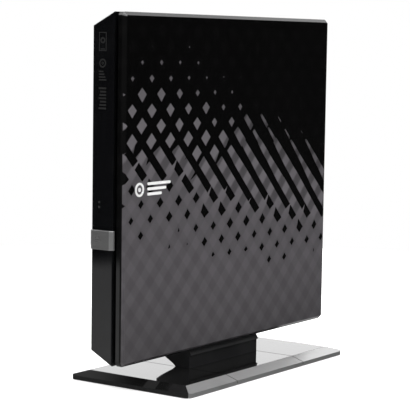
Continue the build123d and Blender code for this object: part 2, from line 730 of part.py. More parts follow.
# ---------------------------------------------------------------- traverse
def make_traverse_frame():
    ear_r = 4.0
    with BuildPart() as frame:
        with BuildSketch(traverse_plane(-4.8)):
            Polygon(
                (-17.0, -16.4),
                (61.6, -16.4),
                (63.4, -14.6),
                (63.4, 16.0),
                (56.6, 26.0),
                (-17.0, 26.0),
                align=None,
            )
            with Locations((0.0, 0.0)):
                Circle(13.4, mode=Mode.SUBTRACT)
        extrude(amount=3.9)
        with BuildSketch(traverse_plane(-4.8)):
            uw_block(14.0, 62.2, -14.6, 15.2)
            uw_block(14.0, 54.4, 15.0, 23.8)
            uw_block(-4.0, 14.2, 16.4, 23.8)
        extrude(amount=3.9, mode=Mode.SUBTRACT)
        with BuildSketch(traverse_plane(-4.8)):
            for ear in EARS:
                with Locations(ear):
                    Circle(ear_r)
            uw_block(-21.0, -16.0, -ear_r, ear_r)
            uw_block(16.0, 24.0, -21.5, -15.0)
            uw_block(46.0, 54.0, 25.0, 29.5)
        extrude(amount=1.6)
        with BuildSketch(traverse_plane(-4.8)):
            for ear in EARS:
                with Locations(ear):
                    Circle(2.5)
        extrude(amount=3.9, mode=Mode.SUBTRACT)
        for w in (-ROD_W, ROD_W):
            with BuildSketch(travel_plane(11.0, w)):
                Circle(ROD_R + RUNNING)
            extrude(amount=51.6, mode=Mode.SUBTRACT)
        with BuildSketch(travel_plane(54.0, SCREW_W)):
            Circle(SCREW_R + RUNNING)
        extrude(amount=2.0, mode=Mode.SUBTRACT)
    finish(frame, "traverse_frame")
    with BuildPart() as cover:
        with BuildSketch(traverse_plane(0.2)):
            uw_block(-17.7, 57.7, -18.7, 26.7)
            Circle(56.7, mode=Mode.INTERSECT)
            Circle(15.2, mode=Mode.SUBTRACT)
        extrude(amount=0.4)
        with BuildSketch(traverse_plane(0.2)):
            uw_block(20.2, 62.4, -4.4, 4.4)
        extrude(amount=0.4, mode=Mode.SUBTRACT)
    finish(cover, "traverse_cover")


def make_traverse_fixings():
    with BuildPart() as grommets:
        for ear in EARS:
            with BuildSketch(traverse_plane(-5.1)):
                with Locations(ear):
                    Circle(2.45)
                    Circle(1.1, mode=Mode.SUBTRACT)
            extrude(amount=2.05)
    finish(grommets, "traverse_grommets")
    with BuildPart() as screws:
        for ear in EARS:
            with BuildSketch(traverse_plane(-5.7)):
                with Locations(ear):
                    Circle(2.0)
            extrude(amount=0.6)
            with BuildSketch(traverse_plane(-5.1)):
                with Locations(ear):
                    Circle(1.0)
            extrude(amount=4.0)
    finish(screws, "traverse_screws")
    with BuildPart() as rods:
        for w in (-ROD_W, ROD_W):
            with BuildSketch(travel_plane(11.2, w)):
                Circle(ROD_R)
            extrude(amount=51.2)
    finish(rods, "guide_rods")


def make_spindle():
    boss_r = 7.3
    with BuildPart() as motor:
        with BuildSketch(across(-4.7)):
            with Locations((HUB_Y, MID_Z)):
                Circle(13.0)
        extrude(amount=0.7)
        with BuildSketch(across(-4.0)):
            with Locations((HUB_Y, MID_Z)):
                Circle(2.6)
        extrude(amount=2.8)
        with BuildSketch(across(-4.0)):
            with Locations((HUB_Y, MID_Z)):
                Circle(SHAFT_R + RUNNING)
        extrude(amount=2.8, mode=Mode.SUBTRACT)
    finish(motor, "spindle_motor")
    with BuildPart() as rotor:
        with BuildSketch(across(-3.6)):
            with Locations((HUB_Y, MID_Z)):
                Circle(12.4)
                Circle(11.8, mode=Mode.SUBTRACT)
        extrude(amount=4.0)
        with BuildSketch(across(-0.4)):
            with Locations((HUB_Y, MID_Z)):
                Circle(12.4)
        extrude(amount=0.8)
        with BuildSketch(across(-3.8)):
            with Locations((HUB_Y, MID_Z)):
                Circle(SHAFT_R)
        extrude(amount=3.4)
        with BuildSketch(across(0.4)):
            with Locations((HUB_Y, MID_Z)):
                Circle(14.5)
        extrude(amount=1.1)
        with BuildSketch(across(1.5)):
            with Locations((HUB_Y, MID_Z)):
                Circle(boss_r)
        extrude(amount=2.8)
        chamfer(rotor.faces().sort_by(Axis.X)[-1].edges(), 0.6)
        with BuildSketch(across(2.2)):
            with Locations((HUB_Y, MID_Z)):
                with PolarLocations(boss_r - 1.2, 3):
                    Rectangle(3.4, 3.2)
        extrude(amount=3.0, mode=Mode.SUBTRACT)
    finish(rotor, "spindle_rotor")
    with BuildPart() as jaws:
        with BuildSketch(across(2.2)):
            with Locations((HUB_Y, MID_Z)):
                with PolarLocations(boss_r - 1.35, 3):
                    Rectangle(2.9, 2.8)
        extrude(amount=1.7)
        chamfer(jaws.faces().sort_by(Axis.X)[-1].edges(), 0.4)
    finish(jaws, "clamp_jaws")
    with BuildPart() as ring:
        with BuildSketch(across(1.5)):
            with Locations((HUB_Y, MID_Z)):
                Circle(14.3)
                Circle(11.2, mode=Mode.SUBTRACT)
        extrude(amount=0.5)
    finish(ring, "hub_ring")


def make_lead_screw():
    with BuildPart() as motor:
        with BuildSketch(travel_plane(-3.6, SCREW_W, -2.7)):
            Circle(2.9)
            with Locations((0.0, 0.0)):
                Rectangle(4.2, 8.0, mode=Mode.INTERSECT)
        extrude(amount=10.8)
    finish(motor, "sled_motor")
    with BuildPart() as screw:
        with BuildSketch(travel_plane(7.4, SCREW_W)):
            Circle(SCREW_R)
        extrude(amount=48.4)
    finish(screw, "lead_screw")


def make_sled():
    with BuildPart() as sled:
        with BuildSketch(traverse_plane(-4.4)):
            uw_block(17.0, 28.2, -10.4, 10.4)
            uw_block(18.0, 27.0, -14.3, 14.3)
            uw_block(17.6, 20.4, 14.0, 22.2)
        extrude(amount=3.4)
        with BuildSketch(traverse_plane(-1.0)):
            uw_block(17.0, 28.2, -10.4, 10.4)
        extrude(amount=0.4)
        with BuildSketch(travel_plane(16.0, ROD_W)):
            Circle(ROD_R + RUNNING)
        extrude(amount=14.0, mode=Mode.SUBTRACT)
        with BuildSketch(travel_plane(16.0, SCREW_W)):
            Circle(SCREW_R + RUNNING)
        extrude(amount=6.0, mode=Mode.SUBTRACT)
        with BuildSketch(travel_plane(16.0, -ROD_W)):
            with Locations((0.0, 1.0)):
                Rectangle(2 * ROD_R + 0.1, 4.2)
        extrude(amount=14.0, mode=Mode.SUBTRACT)
        with BuildSketch(traverse_plane(-2.2)):
            uw_block(20.7, 27.3, -4.2, 4.2)
        extrude(amount=3.0, mode=Mode.SUBTRACT)
    finish(sled, "pickup_sled")
    with BuildPart() as holder:
        with BuildSketch(traverse_plane(-1.6)):
            uw_block(LENS_U - 2.9, LENS_U + 2.9, -3.6, 3.6)
        extrude(amount=2.4)
        fillet(holder.edges().filter_by(Axis.X), 0.6)
        with BuildSketch(traverse_plane(0.2)):
            with Locations((LENS_U, 0.0)):
                Circle(1.7)
        extrude(amount=1.0, mode=Mode.SUBTRACT)
    finish(holder, "lens_holder")
    with BuildPart() as lens:
        with BuildSketch(traverse_plane(0.2)):
            with Locations((LENS_U, 0.0)):
                Circle(1.65)
        extrude(amount=0.9)
        fillet(lens.faces().sort_by(Axis.X)[-1].edges(), 0.3)
    finish(lens, "objective_lens")


# ---------------------------------------------------------------- stand
def plate_blank():
    """Whole base plate: an upright edge, then a border that slopes up to the flat top."""
    with BuildPart() as blank:
        with BuildSketch(Plane.XY.offset(BASE_Z)):
            Rectangle(STAND_W, STAND_L)
        extrude(amount=SLOPE_Z - BASE_Z)
        with BuildSketch(Plane.XY.offset(SLOPE_Z)):
            Rectangle(STAND_W, STAND_L)
        with BuildSketch(Plane.XY.offset(TOP_Z)):
            Rectangle(STAND_W - 2 * BORDER, STAND_L - 2 * BORDER)
        loft()
        with BuildSketch(Plane.XY.offset(BASE_Z)):
            RectangleRounded(STAND_W, STAND_L, STAND_CORNER_R)
        extrude(amount=TOP_Z - BASE_Z, mode=Mode.INTERSECT)
    return blank.part


def segment_outlines(y0, y1):
    """Footprints of one plate segment and of its two edge strips, mitred at the plate's ends."""
    gap = 0.1
    inner_x = STAND_W / 2 - BORDER
    outer_x = STAND_W / 2 + 1.0
    end_y = STAND_L / 2
    cut0 = y0 + BORDER if y0 <= -end_y else y0
    cut1 = y1 - BORDER if y1 >= end_y else y1
    out0 = y0 - 1.0 if y0 <= -end_y else y0
    out1 = y1 + 1.0 if y1 >= end_y else y1
    plate = [
        (-inner_x, cut0),
        (-outer_x if out0 < y0 else -inner_x, out0),
        (outer_x if out0 < y0 else inner_x, out0),
        (inner_x, cut0),
        (inner_x, cut1),
        (outer_x if out1 > y1 else inner_x, out1),
        (-outer_x if out1 > y1 else -inner_x, out1),
        (-inner_x, cut1),
    ]
    trims = []
    for side in (-1, 1):
        corner = [
            (side * (inner_x + gap), cut0),
            (side * (outer_x + gap), out0),
            (side * (outer_x + gap), out1),
            (side * (inner_x + gap), cut1),
        ]
        trims.append(corner)
    unique = [p for i, p in enumerate(plate) if p != plate[i - 1]]
    return unique, trims


def wing_screw_spots():
    return [(sx * WING_SCREW[0], sy * WING_SCREW[1]) for sx in (-1, 1) for sy in (-1, 1)]


def make_base():
    for name, y0, y1 in SEGMENTS:
        plate, trims = segment_outlines(y0, y1)
        with BuildPart() as segment:
            add(plate_blank())
            with BuildSketch(Plane.XY):
                Polygon(*plate, align=None)
            extrude(amount=TOP_Z + 1.0, mode=Mode.INTERSECT)
            with BuildSketch(Plane.XY.offset(BASE_Z)):
                Rectangle(STAND_W - 2 * BORDER - 2.0, STAND_L - 2 * BORDER - 2.0)
            extrude(amount=PLATE_TOP_Z - BASE_Z, mode=Mode.SUBTRACT)
            with BuildSketch(Plane.XY.offset(PLATE_TOP_Z)):
                with Locations(*wing_screw_spots()):
                    Circle(SCREW_SHANK_R + RUNNING)
            extrude(amount=1.6, mode=Mode.SUBTRACT)
            with BuildSketch(Plane.XY.offset(PLATE_TOP_Z)):
                with Locations((NECK_SCREW_X, -NECK_SCREW_Y), (NECK_SCREW_X, NECK_SCREW_Y)):
                    Circle(SCREW_SHANK_R + RUNNING)
            extrude(amount=TOP_Z, mode=Mode.SUBTRACT)
        finish(segment, f"stand_{name}_plate")
        with BuildPart() as strips:
            add(plate_blank())
            with BuildSketch(Plane.XY):
                for outline in trims:
                    Polygon(*outline, align=None)
            extrude(amount=TOP_Z + 1.0, mode=Mode.INTERSECT)
        finish(strips, f"stand_{name}_trim")


def make_bottom_plate():
    head_z = 0.45
    with BuildPart() as plate:
        with BuildSketch(Plane.XY.offset(PAD_T)):
            RectangleRounded(STAND_W - 2 * BORDER - 2.4, STAND_L - 2 * BORDER - 2.4, 2.0)
            with Locations(*wing_screw_spots()):
                Circle(SCREW_HEAD_R + 0.1, mode=Mode.SUBTRACT)
            with Locations((NECK_SCREW_X, -NECK_SCREW_Y), (NECK_SCREW_X, NECK_SCREW_Y)):
                Circle(SCREW_HEAD_R + 0.1, mode=Mode.SUBTRACT)
        extrude(amount=PLATE_TOP_Z - PAD_T)
    finish(plate, "stand_bottom_plate")
    with BuildPart() as screws:
        for spot in wing_screw_spots():
            with BuildSketch(Plane.XY.offset(head_z)):
                with Locations(spot):
                    Circle(SCREW_HEAD_R)
                    Rectangle(2.4, 0.5, mode=Mode.SUBTRACT)
            extrude(amount=PLATE_TOP_Z - head_z)
            with BuildSketch(Plane.XY.offset(head_z + 0.4)):
                with Locations(spot):
                    Circle(SCREW_HEAD_R)
            extrude(amount=PLATE_TOP_Z - head_z - 0.4)
            with BuildSketch(Plane.XY.offset(PLATE_TOP_Z)):
                with Locations(spot):
                    Circle(SCREW_SHANK_R)
            extrude(amount=1.5)
    finish(screws, "wing_screws")
    with BuildPart() as screws:
        for side in (-1, 1):
            with BuildSketch(Plane.XY.offset(head_z)):
                with Locations((NECK_SCREW_X, side * NECK_SCREW_Y)):
                    Circle(SCREW_HEAD_R)
            extrude(amount=PLATE_TOP_Z - head_z)
            with BuildSketch(Plane.XY.offset(PLATE_TOP_Z)):
                with Locations((NECK_SCREW_X, side * NECK_SCREW_Y)):
                    Circle(SCREW_SHANK_R)
            extrude(amount=7.4)
    finish(screws, "cradle_screws")
    with BuildPart() as pads:
        with BuildSketch(Plane.XY):
            with GridLocations(36.0, 96.0, 2, 2):
                Circle(4.5)
        extrude(amount=PAD_T)
    finish(pads, "stand_pads")


def side_z(x, clear=0.0):
    """Height of the enclosure's lower sloping side at thickness x, less a clearance."""
    return BOTTOM_Z + TAPER * (CASE_TOP_X - x) - clear


def make_cradle():
    """Neck and channel: a narrow foot that flares out, a rib in the band, and a far flange."""
    gap = 0.6
    flange_in = CASE_FLOOR_X - 0.3
    flange_out = -11.4
    rib = (4.75, 6.0)
    rib_top = BOTTOM_Z + BAND_INSET - 0.4
    lip_x = 7.0
    lip_low = 9.7
    lip_top = 11.4
    with BuildPart() as cradle:
        with BuildSketch(section(WING_Y)):
            Polygon(
                (NECK_X[0], TOP_Z),
                (NECK_X[1], TOP_Z),
                (NECK_X[1], lip_low - 0.3),
                (lip_x, lip_low),
                (NECK_X[1], lip_top),
                (rib[1], lip_top),
                (rib[1], rib_top),
                (rib[0], rib_top),
                (rib[0], side_z(CASE_TOP_X, gap)),
                (CASE_TOP_X, side_z(CASE_TOP_X, gap)),
                (flange_in, side_z(flange_in, gap)),
                (flange_in, 36.0),
                (flange_out, 36.0),
                (flange_out, 10.6),
                (-8.6, 8.6),
                (NECK_X[0] - 1.4, 5.2),
                align=None,
            )
        extrude(amount=2 * WING_Y)
        fillet(cradle.edges().filter_by(Axis.Y).group_by(Axis.Z)[-1], 0.8)
        with BuildSketch(Plane.XY.offset(TOP_Z)):
            with Locations((NECK_SCREW_X, -NECK_SCREW_Y), (NECK_SCREW_X, NECK_SCREW_Y)):
                Circle(SCREW_SHANK_R + RUNNING)
        extrude(amount=5.0, mode=Mode.SUBTRACT)
    finish(cradle, "stand_cradle")
    with BuildPart() as pads:
        for y in (-16.0, 16.0):
            with BuildSketch(section(y + 5.0)):
                Polygon(
                    (3.2, side_z(3.2, gap)),
                    (3.2, side_z(3.2, 0.06)),
                    (-6.0, side_z(-6.0, 0.06)),
                    (-6.0, side_z(-6.0, gap)),
                    align=None,
                )
            extrude(amount=10.0)
    finish(pads, "cradle_pads")


for maker in (
    make_cover_panel,
    make_cover_badge,
    make_upper_case,
    make_bottom_case,
    make_case_screws,
    make_rubber_feet,
    make_bridge_board,
    make_usb_socket,
    make_sata_pair,
    make_chassis_pan,
    make_chassis_lid,
    make_rails,
    make_brackets,
    make_latch_post,
    make_disc_tray,
    make_bezel,
    make_eject_button,
    make_tray_board,
    make_latch,
    make_traverse_frame,
    make_traverse_fixings,
    make_spindle,
    make_lead_screw,
    make_sled,
    make_base,
    make_bottom_plate,
    make_cradle,
):
    maker()
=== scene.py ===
"""Looks of the external optical drive in its stand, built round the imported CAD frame. Metres, +Z up."""
import json
import math
import random

import bmesh
import bpy
from mathutils import Matrix, Vector


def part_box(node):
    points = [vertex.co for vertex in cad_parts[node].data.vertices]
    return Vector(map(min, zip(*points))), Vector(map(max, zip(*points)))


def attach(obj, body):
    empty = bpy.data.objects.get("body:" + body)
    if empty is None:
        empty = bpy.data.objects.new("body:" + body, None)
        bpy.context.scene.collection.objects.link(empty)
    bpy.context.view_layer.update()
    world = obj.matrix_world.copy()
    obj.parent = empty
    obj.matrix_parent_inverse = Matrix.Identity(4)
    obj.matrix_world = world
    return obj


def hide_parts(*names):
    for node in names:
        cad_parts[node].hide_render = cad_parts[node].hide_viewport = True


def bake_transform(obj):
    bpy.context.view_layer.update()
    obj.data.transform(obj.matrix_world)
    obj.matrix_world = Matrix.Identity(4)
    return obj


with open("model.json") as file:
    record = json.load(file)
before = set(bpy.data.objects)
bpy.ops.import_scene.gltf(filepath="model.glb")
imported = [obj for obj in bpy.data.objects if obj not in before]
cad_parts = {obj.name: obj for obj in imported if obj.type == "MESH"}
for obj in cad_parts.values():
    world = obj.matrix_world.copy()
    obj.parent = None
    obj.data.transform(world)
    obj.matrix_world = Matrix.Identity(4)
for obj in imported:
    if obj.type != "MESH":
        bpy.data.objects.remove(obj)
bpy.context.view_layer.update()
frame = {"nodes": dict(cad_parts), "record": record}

MM = 0.001
NODES = frame["nodes"]
SLOT_OF = {row["node"]: row["material_slot"] for row in frame["record"]["subparts"]}


def span(node):
    """Lowest and highest corner of a CAD node as two vectors."""
    low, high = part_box(node)
    return Vector(low), Vector(high)


COVER_LOW, COVER_HIGH = span("cover_panel")
BEZEL_LOW = span("tray_bezel")[0]
BUTTON_LOW, BUTTON_HIGH = span("eject_button")
KEY_CHAMFER = 1.7 * MM       # width of the slope at the cover end of the eject key, which carries a painted highlight


# ---------------------------------------------------------------- camera and stage
def make_camera():
    """Camera fitted to the reference view: azimuth, elevation and roll in degrees."""
    azimuth = math.radians(35.32)
    elevation = math.radians(5.744)
    roll = math.radians(0.851)
    distance = 0.6998
    aside = -0.00475
    above = -0.01054
    target = Vector((0.0, 0.0005, 0.0826))
    back = Vector((
        math.sin(azimuth) * math.cos(elevation),
        -math.cos(azimuth) * math.cos(elevation),
        math.sin(elevation),
    ))
    right = Vector((math.cos(azimuth), math.sin(azimuth), 0.0))
    up = back.cross(right)
    rolled_right = right * math.cos(roll) + up * math.sin(roll)
    rolled_up = up * math.cos(roll) - right * math.sin(roll)
    place = target + back * distance + rolled_right * aside + rolled_up * above
    data = bpy.data.cameras.new("camera")
    data.sensor_width = 36.0
    data.lens = 139.96
    data.clip_end = 20.0
    camera = bpy.data.objects.new("camera", data)
    bpy.context.scene.collection.objects.link(camera)
    turn = Matrix((rolled_right, rolled_up, back)).transposed()
    camera.matrix_world = Matrix.Translation(place) @ turn.to_4x4()
    bpy.context.scene.camera = camera


def make_world():
    """White to the camera, soft white to matte surfaces, and a studio for the glossy ones:
    a bright screen behind, soft boxes behind and overhead, a pale table low down, dark sides."""
    world = bpy.data.worlds.new("studio")
    bpy.context.scene.world = world
    world.use_nodes = True
    g = Graph(world.node_tree)
    direction = g.node("ShaderNodeTexCoord").outputs["Generated"]
    x, y, z = g.split(direction)
    behind = Vector((-0.60, 0.80))
    ahead = Vector((-0.58, -0.81))
    to_screen = g.math("ADD", g.math("MULTIPLY", x, behind.x), g.math("MULTIPLY", y, behind.y))
    screen = g.math("MULTIPLY", g.smooth(to_screen, 0.80, 0.92), g.smooth(z, 0.46, 0.24))
    to_front = g.math("ADD", g.math("MULTIPLY", x, ahead.x), g.math("MULTIPLY", y, ahead.y))
    table = g.math("MULTIPLY", g.smooth(to_front, 0.6, 0.8), g.smooth(z, -0.132, -0.142))
    rear = g.math("MULTIPLY", g.smooth(y, 0.64, 0.76), g.smooth(z, 0.26, 0.36))
    strip = g.math("MULTIPLY", rear, g.smooth(x, -0.16, 0.0))
    table = g.math("MULTIPLY", table, g.smooth(z, -0.207, -0.195))
    to_viewer = g.math("ADD", g.math("MULTIPLY", x, -behind.x), g.math("MULTIPLY", y, -behind.y))
    sides = g.math("ADD", g.smooth(x, -0.595, -0.625), g.smooth(x, -0.50, -0.42))
    ceiling = g.math("MULTIPLY", g.smooth(z, 0.40, 0.52), sides)
    parts = (
        (screen, 1.95),
        (rear, 0.66),
        (strip, 0.3),
        (ceiling, 0.22),
        (g.smooth(z, 0.64, 0.85), 1.7),
        (table, 0.62),
        (g.smooth(to_viewer, 0.80, 0.95), 0.06),
        (g.smooth(z, -0.12, -0.34), 0.5),
    )
    glossy = 0.011
    for share, strength in parts:
        glossy = g.math("ADD", glossy, g.math("MULTIPLY", share, strength))
    paths = g.node("ShaderNodeLightPath").outputs
    level = g.mix(paths["Is Diffuse Ray"], glossy, 0.42)
    level = g.mix(paths["Is Camera Ray"], level, 1.0)
    background = g.node("ShaderNodeBackground")
    background.inputs["Color"].default_value = (1.0, 1.0, 1.0, 1.0)
    g.link(level, background.inputs["Strength"])
    output = g.node("ShaderNodeOutputWorld")
    g.link(background.outputs[0], output.inputs["Surface"])


def make_floor():
    """A round pale table top that ends a few hundred millimetres from the stand."""
    radius = 0.43
    mesh = bpy.data.meshes.new("floor")
    bm = bmesh.new()
    bmesh.ops.create_circle(bm, cap_ends=True, radius=radius, segments=96)
    bm.to_mesh(mesh)
    bm.free()
    floor = bpy.data.objects.new("floor", mesh)
    bpy.context.scene.collection.objects.link(floor)
    floor.location.z = -0.00002
    floor.visible_glossy = False
    material = bpy.data.materials.new("floor_white")
    material.use_nodes = True
    shader = material.node_tree.nodes["Principled BSDF"]
    shader.inputs["Base Color"].default_value = (0.9, 0.9, 0.9, 1.0)
    shader.inputs["Roughness"].default_value = 0.8
    shader.inputs["Specular IOR Level"].default_value = 0.1
    shader.inputs["Emission Color"].default_value = (1.0, 1.0, 1.0, 1.0)
    shader.inputs["Emission Strength"].default_value = 0.55
    mesh.materials.append(material)


def area_light(name, place, aim, size, power):
    data = bpy.data.lights.new(name, "AREA")
    data.shape = "RECTANGLE"
    data.size, data.size_y = size
    data.energy = power
    light = bpy.data.objects.new(name, data)
    bpy.context.scene.collection.objects.link(light)
    light.location = place
    light.rotation_euler = (Vector(aim) - Vector(place)).to_track_quat("-Z", "Y").to_euler()
    return light


def make_lights():
    area_light("top_box", (0.15, -0.1, 1.1), (0.0, 0.0, 0.05), (1.1, 1.1), 13.0)
    area_light("front_box", (0.75, -0.35, 0.75), (0.0, 0.0, 0.08), (0.5, 0.5), 3.0)
    area_light("left_box", (-0.7, -0.5, 0.7), (0.0, 0.0, 0.08), (0.4, 0.6), 2.0)


# ---------------------------------------------------------------- shader graphs
class Graph:
    """Short names for building a node tree. Values may be sockets or plain numbers."""

    def __init__(self, tree):
        self.tree = tree
        tree.nodes.clear()

    def node(self, kind):
        return self.tree.nodes.new(kind)

    def link(self, source, target):
        self.tree.links.new(source, target)

    def feed(self, value, socket):
        if isinstance(value, bpy.types.NodeSocket):
            self.link(value, socket)
        else:
            socket.default_value = value

    def math(self, operation, a, b=0.0, c=0.0):
        node = self.node("ShaderNodeMath")
        node.operation = operation
        for value, socket in zip((a, b, c), node.inputs):
            self.feed(value, socket)
        return node.outputs[0]

    def clamp(self, value, low=0.0, high=1.0):
        return self.math("MINIMUM", self.math("MAXIMUM", value, low), high)

    def split(self, vector):
        node = self.node("ShaderNodeSeparateXYZ")
        self.link(vector, node.inputs[0])
        return node.outputs[0], node.outputs[1], node.outputs[2]

    def join(self, x=0.0, y=0.0, z=0.0):
        node = self.node("ShaderNodeCombineXYZ")
        for value, socket in zip((x, y, z), node.inputs):
            self.feed(value, socket)
        return node.outputs[0]

    def smooth(self, value, low, high):
        """Smooth step from 0 at low to 1 at high; falls when low is above high."""
        node = self.node("ShaderNodeMapRange")
        node.interpolation_type = "SMOOTHSTEP"
        rising = low < high
        self.feed(value, node.inputs["Value"])
        node.inputs["From Min"].default_value = min(low, high)
        node.inputs["From Max"].default_value = max(low, high)
        node.inputs["To Min"].default_value = 0.0 if rising else 1.0
        node.inputs["To Max"].default_value = 1.0 if rising else 0.0
        return node.outputs[0]

    def mix(self, factor, a, b):
        node = self.node("ShaderNodeMix")
        node.data_type = "FLOAT"
        for value, socket in zip((factor, a, b), (node.inputs[0], node.inputs[2], node.inputs[3])):
            self.feed(value, socket)
        return node.outputs[0]

    def tint(self, factor, a, b):
        """Mix of two colours given as three numbers or sockets."""
        node = self.node("ShaderNodeMix")
        node.data_type = "RGBA"
        self.feed(factor, node.inputs[0])
        for value, socket in zip((a, b), (node.inputs[6], node.inputs[7])):
            self.feed(value if isinstance(value, bpy.types.NodeSocket) else (*value, 1.0), socket)
        return node.outputs[2]

    def coords(self):
        return self.node("ShaderNodeTexCoord").outputs["Object"]

    def noise(self, scale, detail=2.0, vector=None, roughness=0.5):
        node = self.node("ShaderNodeTexNoise")
        node.inputs["Scale"].default_value = scale
        node.inputs["Detail"].default_value = detail
        node.inputs["Roughness"].default_value = roughness
        self.link(vector or self.coords(), node.inputs["Vector"])
        return node.outputs[0]

    def stretched(self, x=1.0, y=1.0, z=1.0):
        """Object coordinates scaled on each axis, for brushed and turned grain."""
        node = self.node("ShaderNodeMapping")
        node.inputs["Scale"].default_value = (x, y, z)
        self.link(self.coords(), node.inputs["Vector"])
        return node.outputs[0]

    def bump(self, height, strength, distance, normal=None):
        node = self.node("ShaderNodeBump")
        node.inputs["Strength"].default_value = strength
        node.inputs["Distance"].default_value = distance
        self.link(height, node.inputs["Height"])
        if normal is not None:
            self.link(normal, node.inputs["Normal"])
        return node.outputs[0]


MATERIALS = {}


def material(name):
    """Decorator: builds the material once, gives the graph and the shader to the function."""
    def wrap(build):
        made = bpy.data.materials.new(name)
        made.use_nodes = True
        g = Graph(made.node_tree)
        shader = g.node("ShaderNodeBsdfPrincipled")
        output = g.node("ShaderNodeOutputMaterial")
        g.link(shader.outputs[0], output.inputs["Surface"])
        build(g, shader)
        MATERIALS[name] = made
        return build
    return wrap


LATTICE = 12.71 * MM         # step of the diagonal lattice, measured along Y plus Z
COVER_TOP = COVER_HIGH.z
COVER_FRONT = COVER_LOW.y


def triangle_wave(g, phase):
    """+1 on whole numbers of the phase, -1 midway between them."""
    part = g.math("ABSOLUTE", g.math("SUBTRACT", g.math("FRACT", phase), 0.5))
    return g.math("MULTIPLY_ADD", part, 4.0, -1.0)


def cell_noise(g, a, b, amount):
    """One random number from -amount to +amount for each cell of the lattice."""
    cell = g.join(g.math("FLOOR", a), g.math("FLOOR", b))
    scatter = g.node("ShaderNodeTexWhiteNoise")
    scatter.noise_dimensions = "2D"
    g.link(cell, scatter.inputs["Vector"])
    return g.math("MULTIPLY", g.math("SUBTRACT", scatter.outputs["Value"], 0.5), 2.0 * amount)


def ramp(g, value, start, end):
    """Straight rise from 0 at start to 1 at end, held outside."""
    width = g.math("MAXIMUM", g.math("SUBTRACT", end, start), 0.01)
    return g.clamp(g.math("DIVIDE", g.math("SUBTRACT", value, start), width))


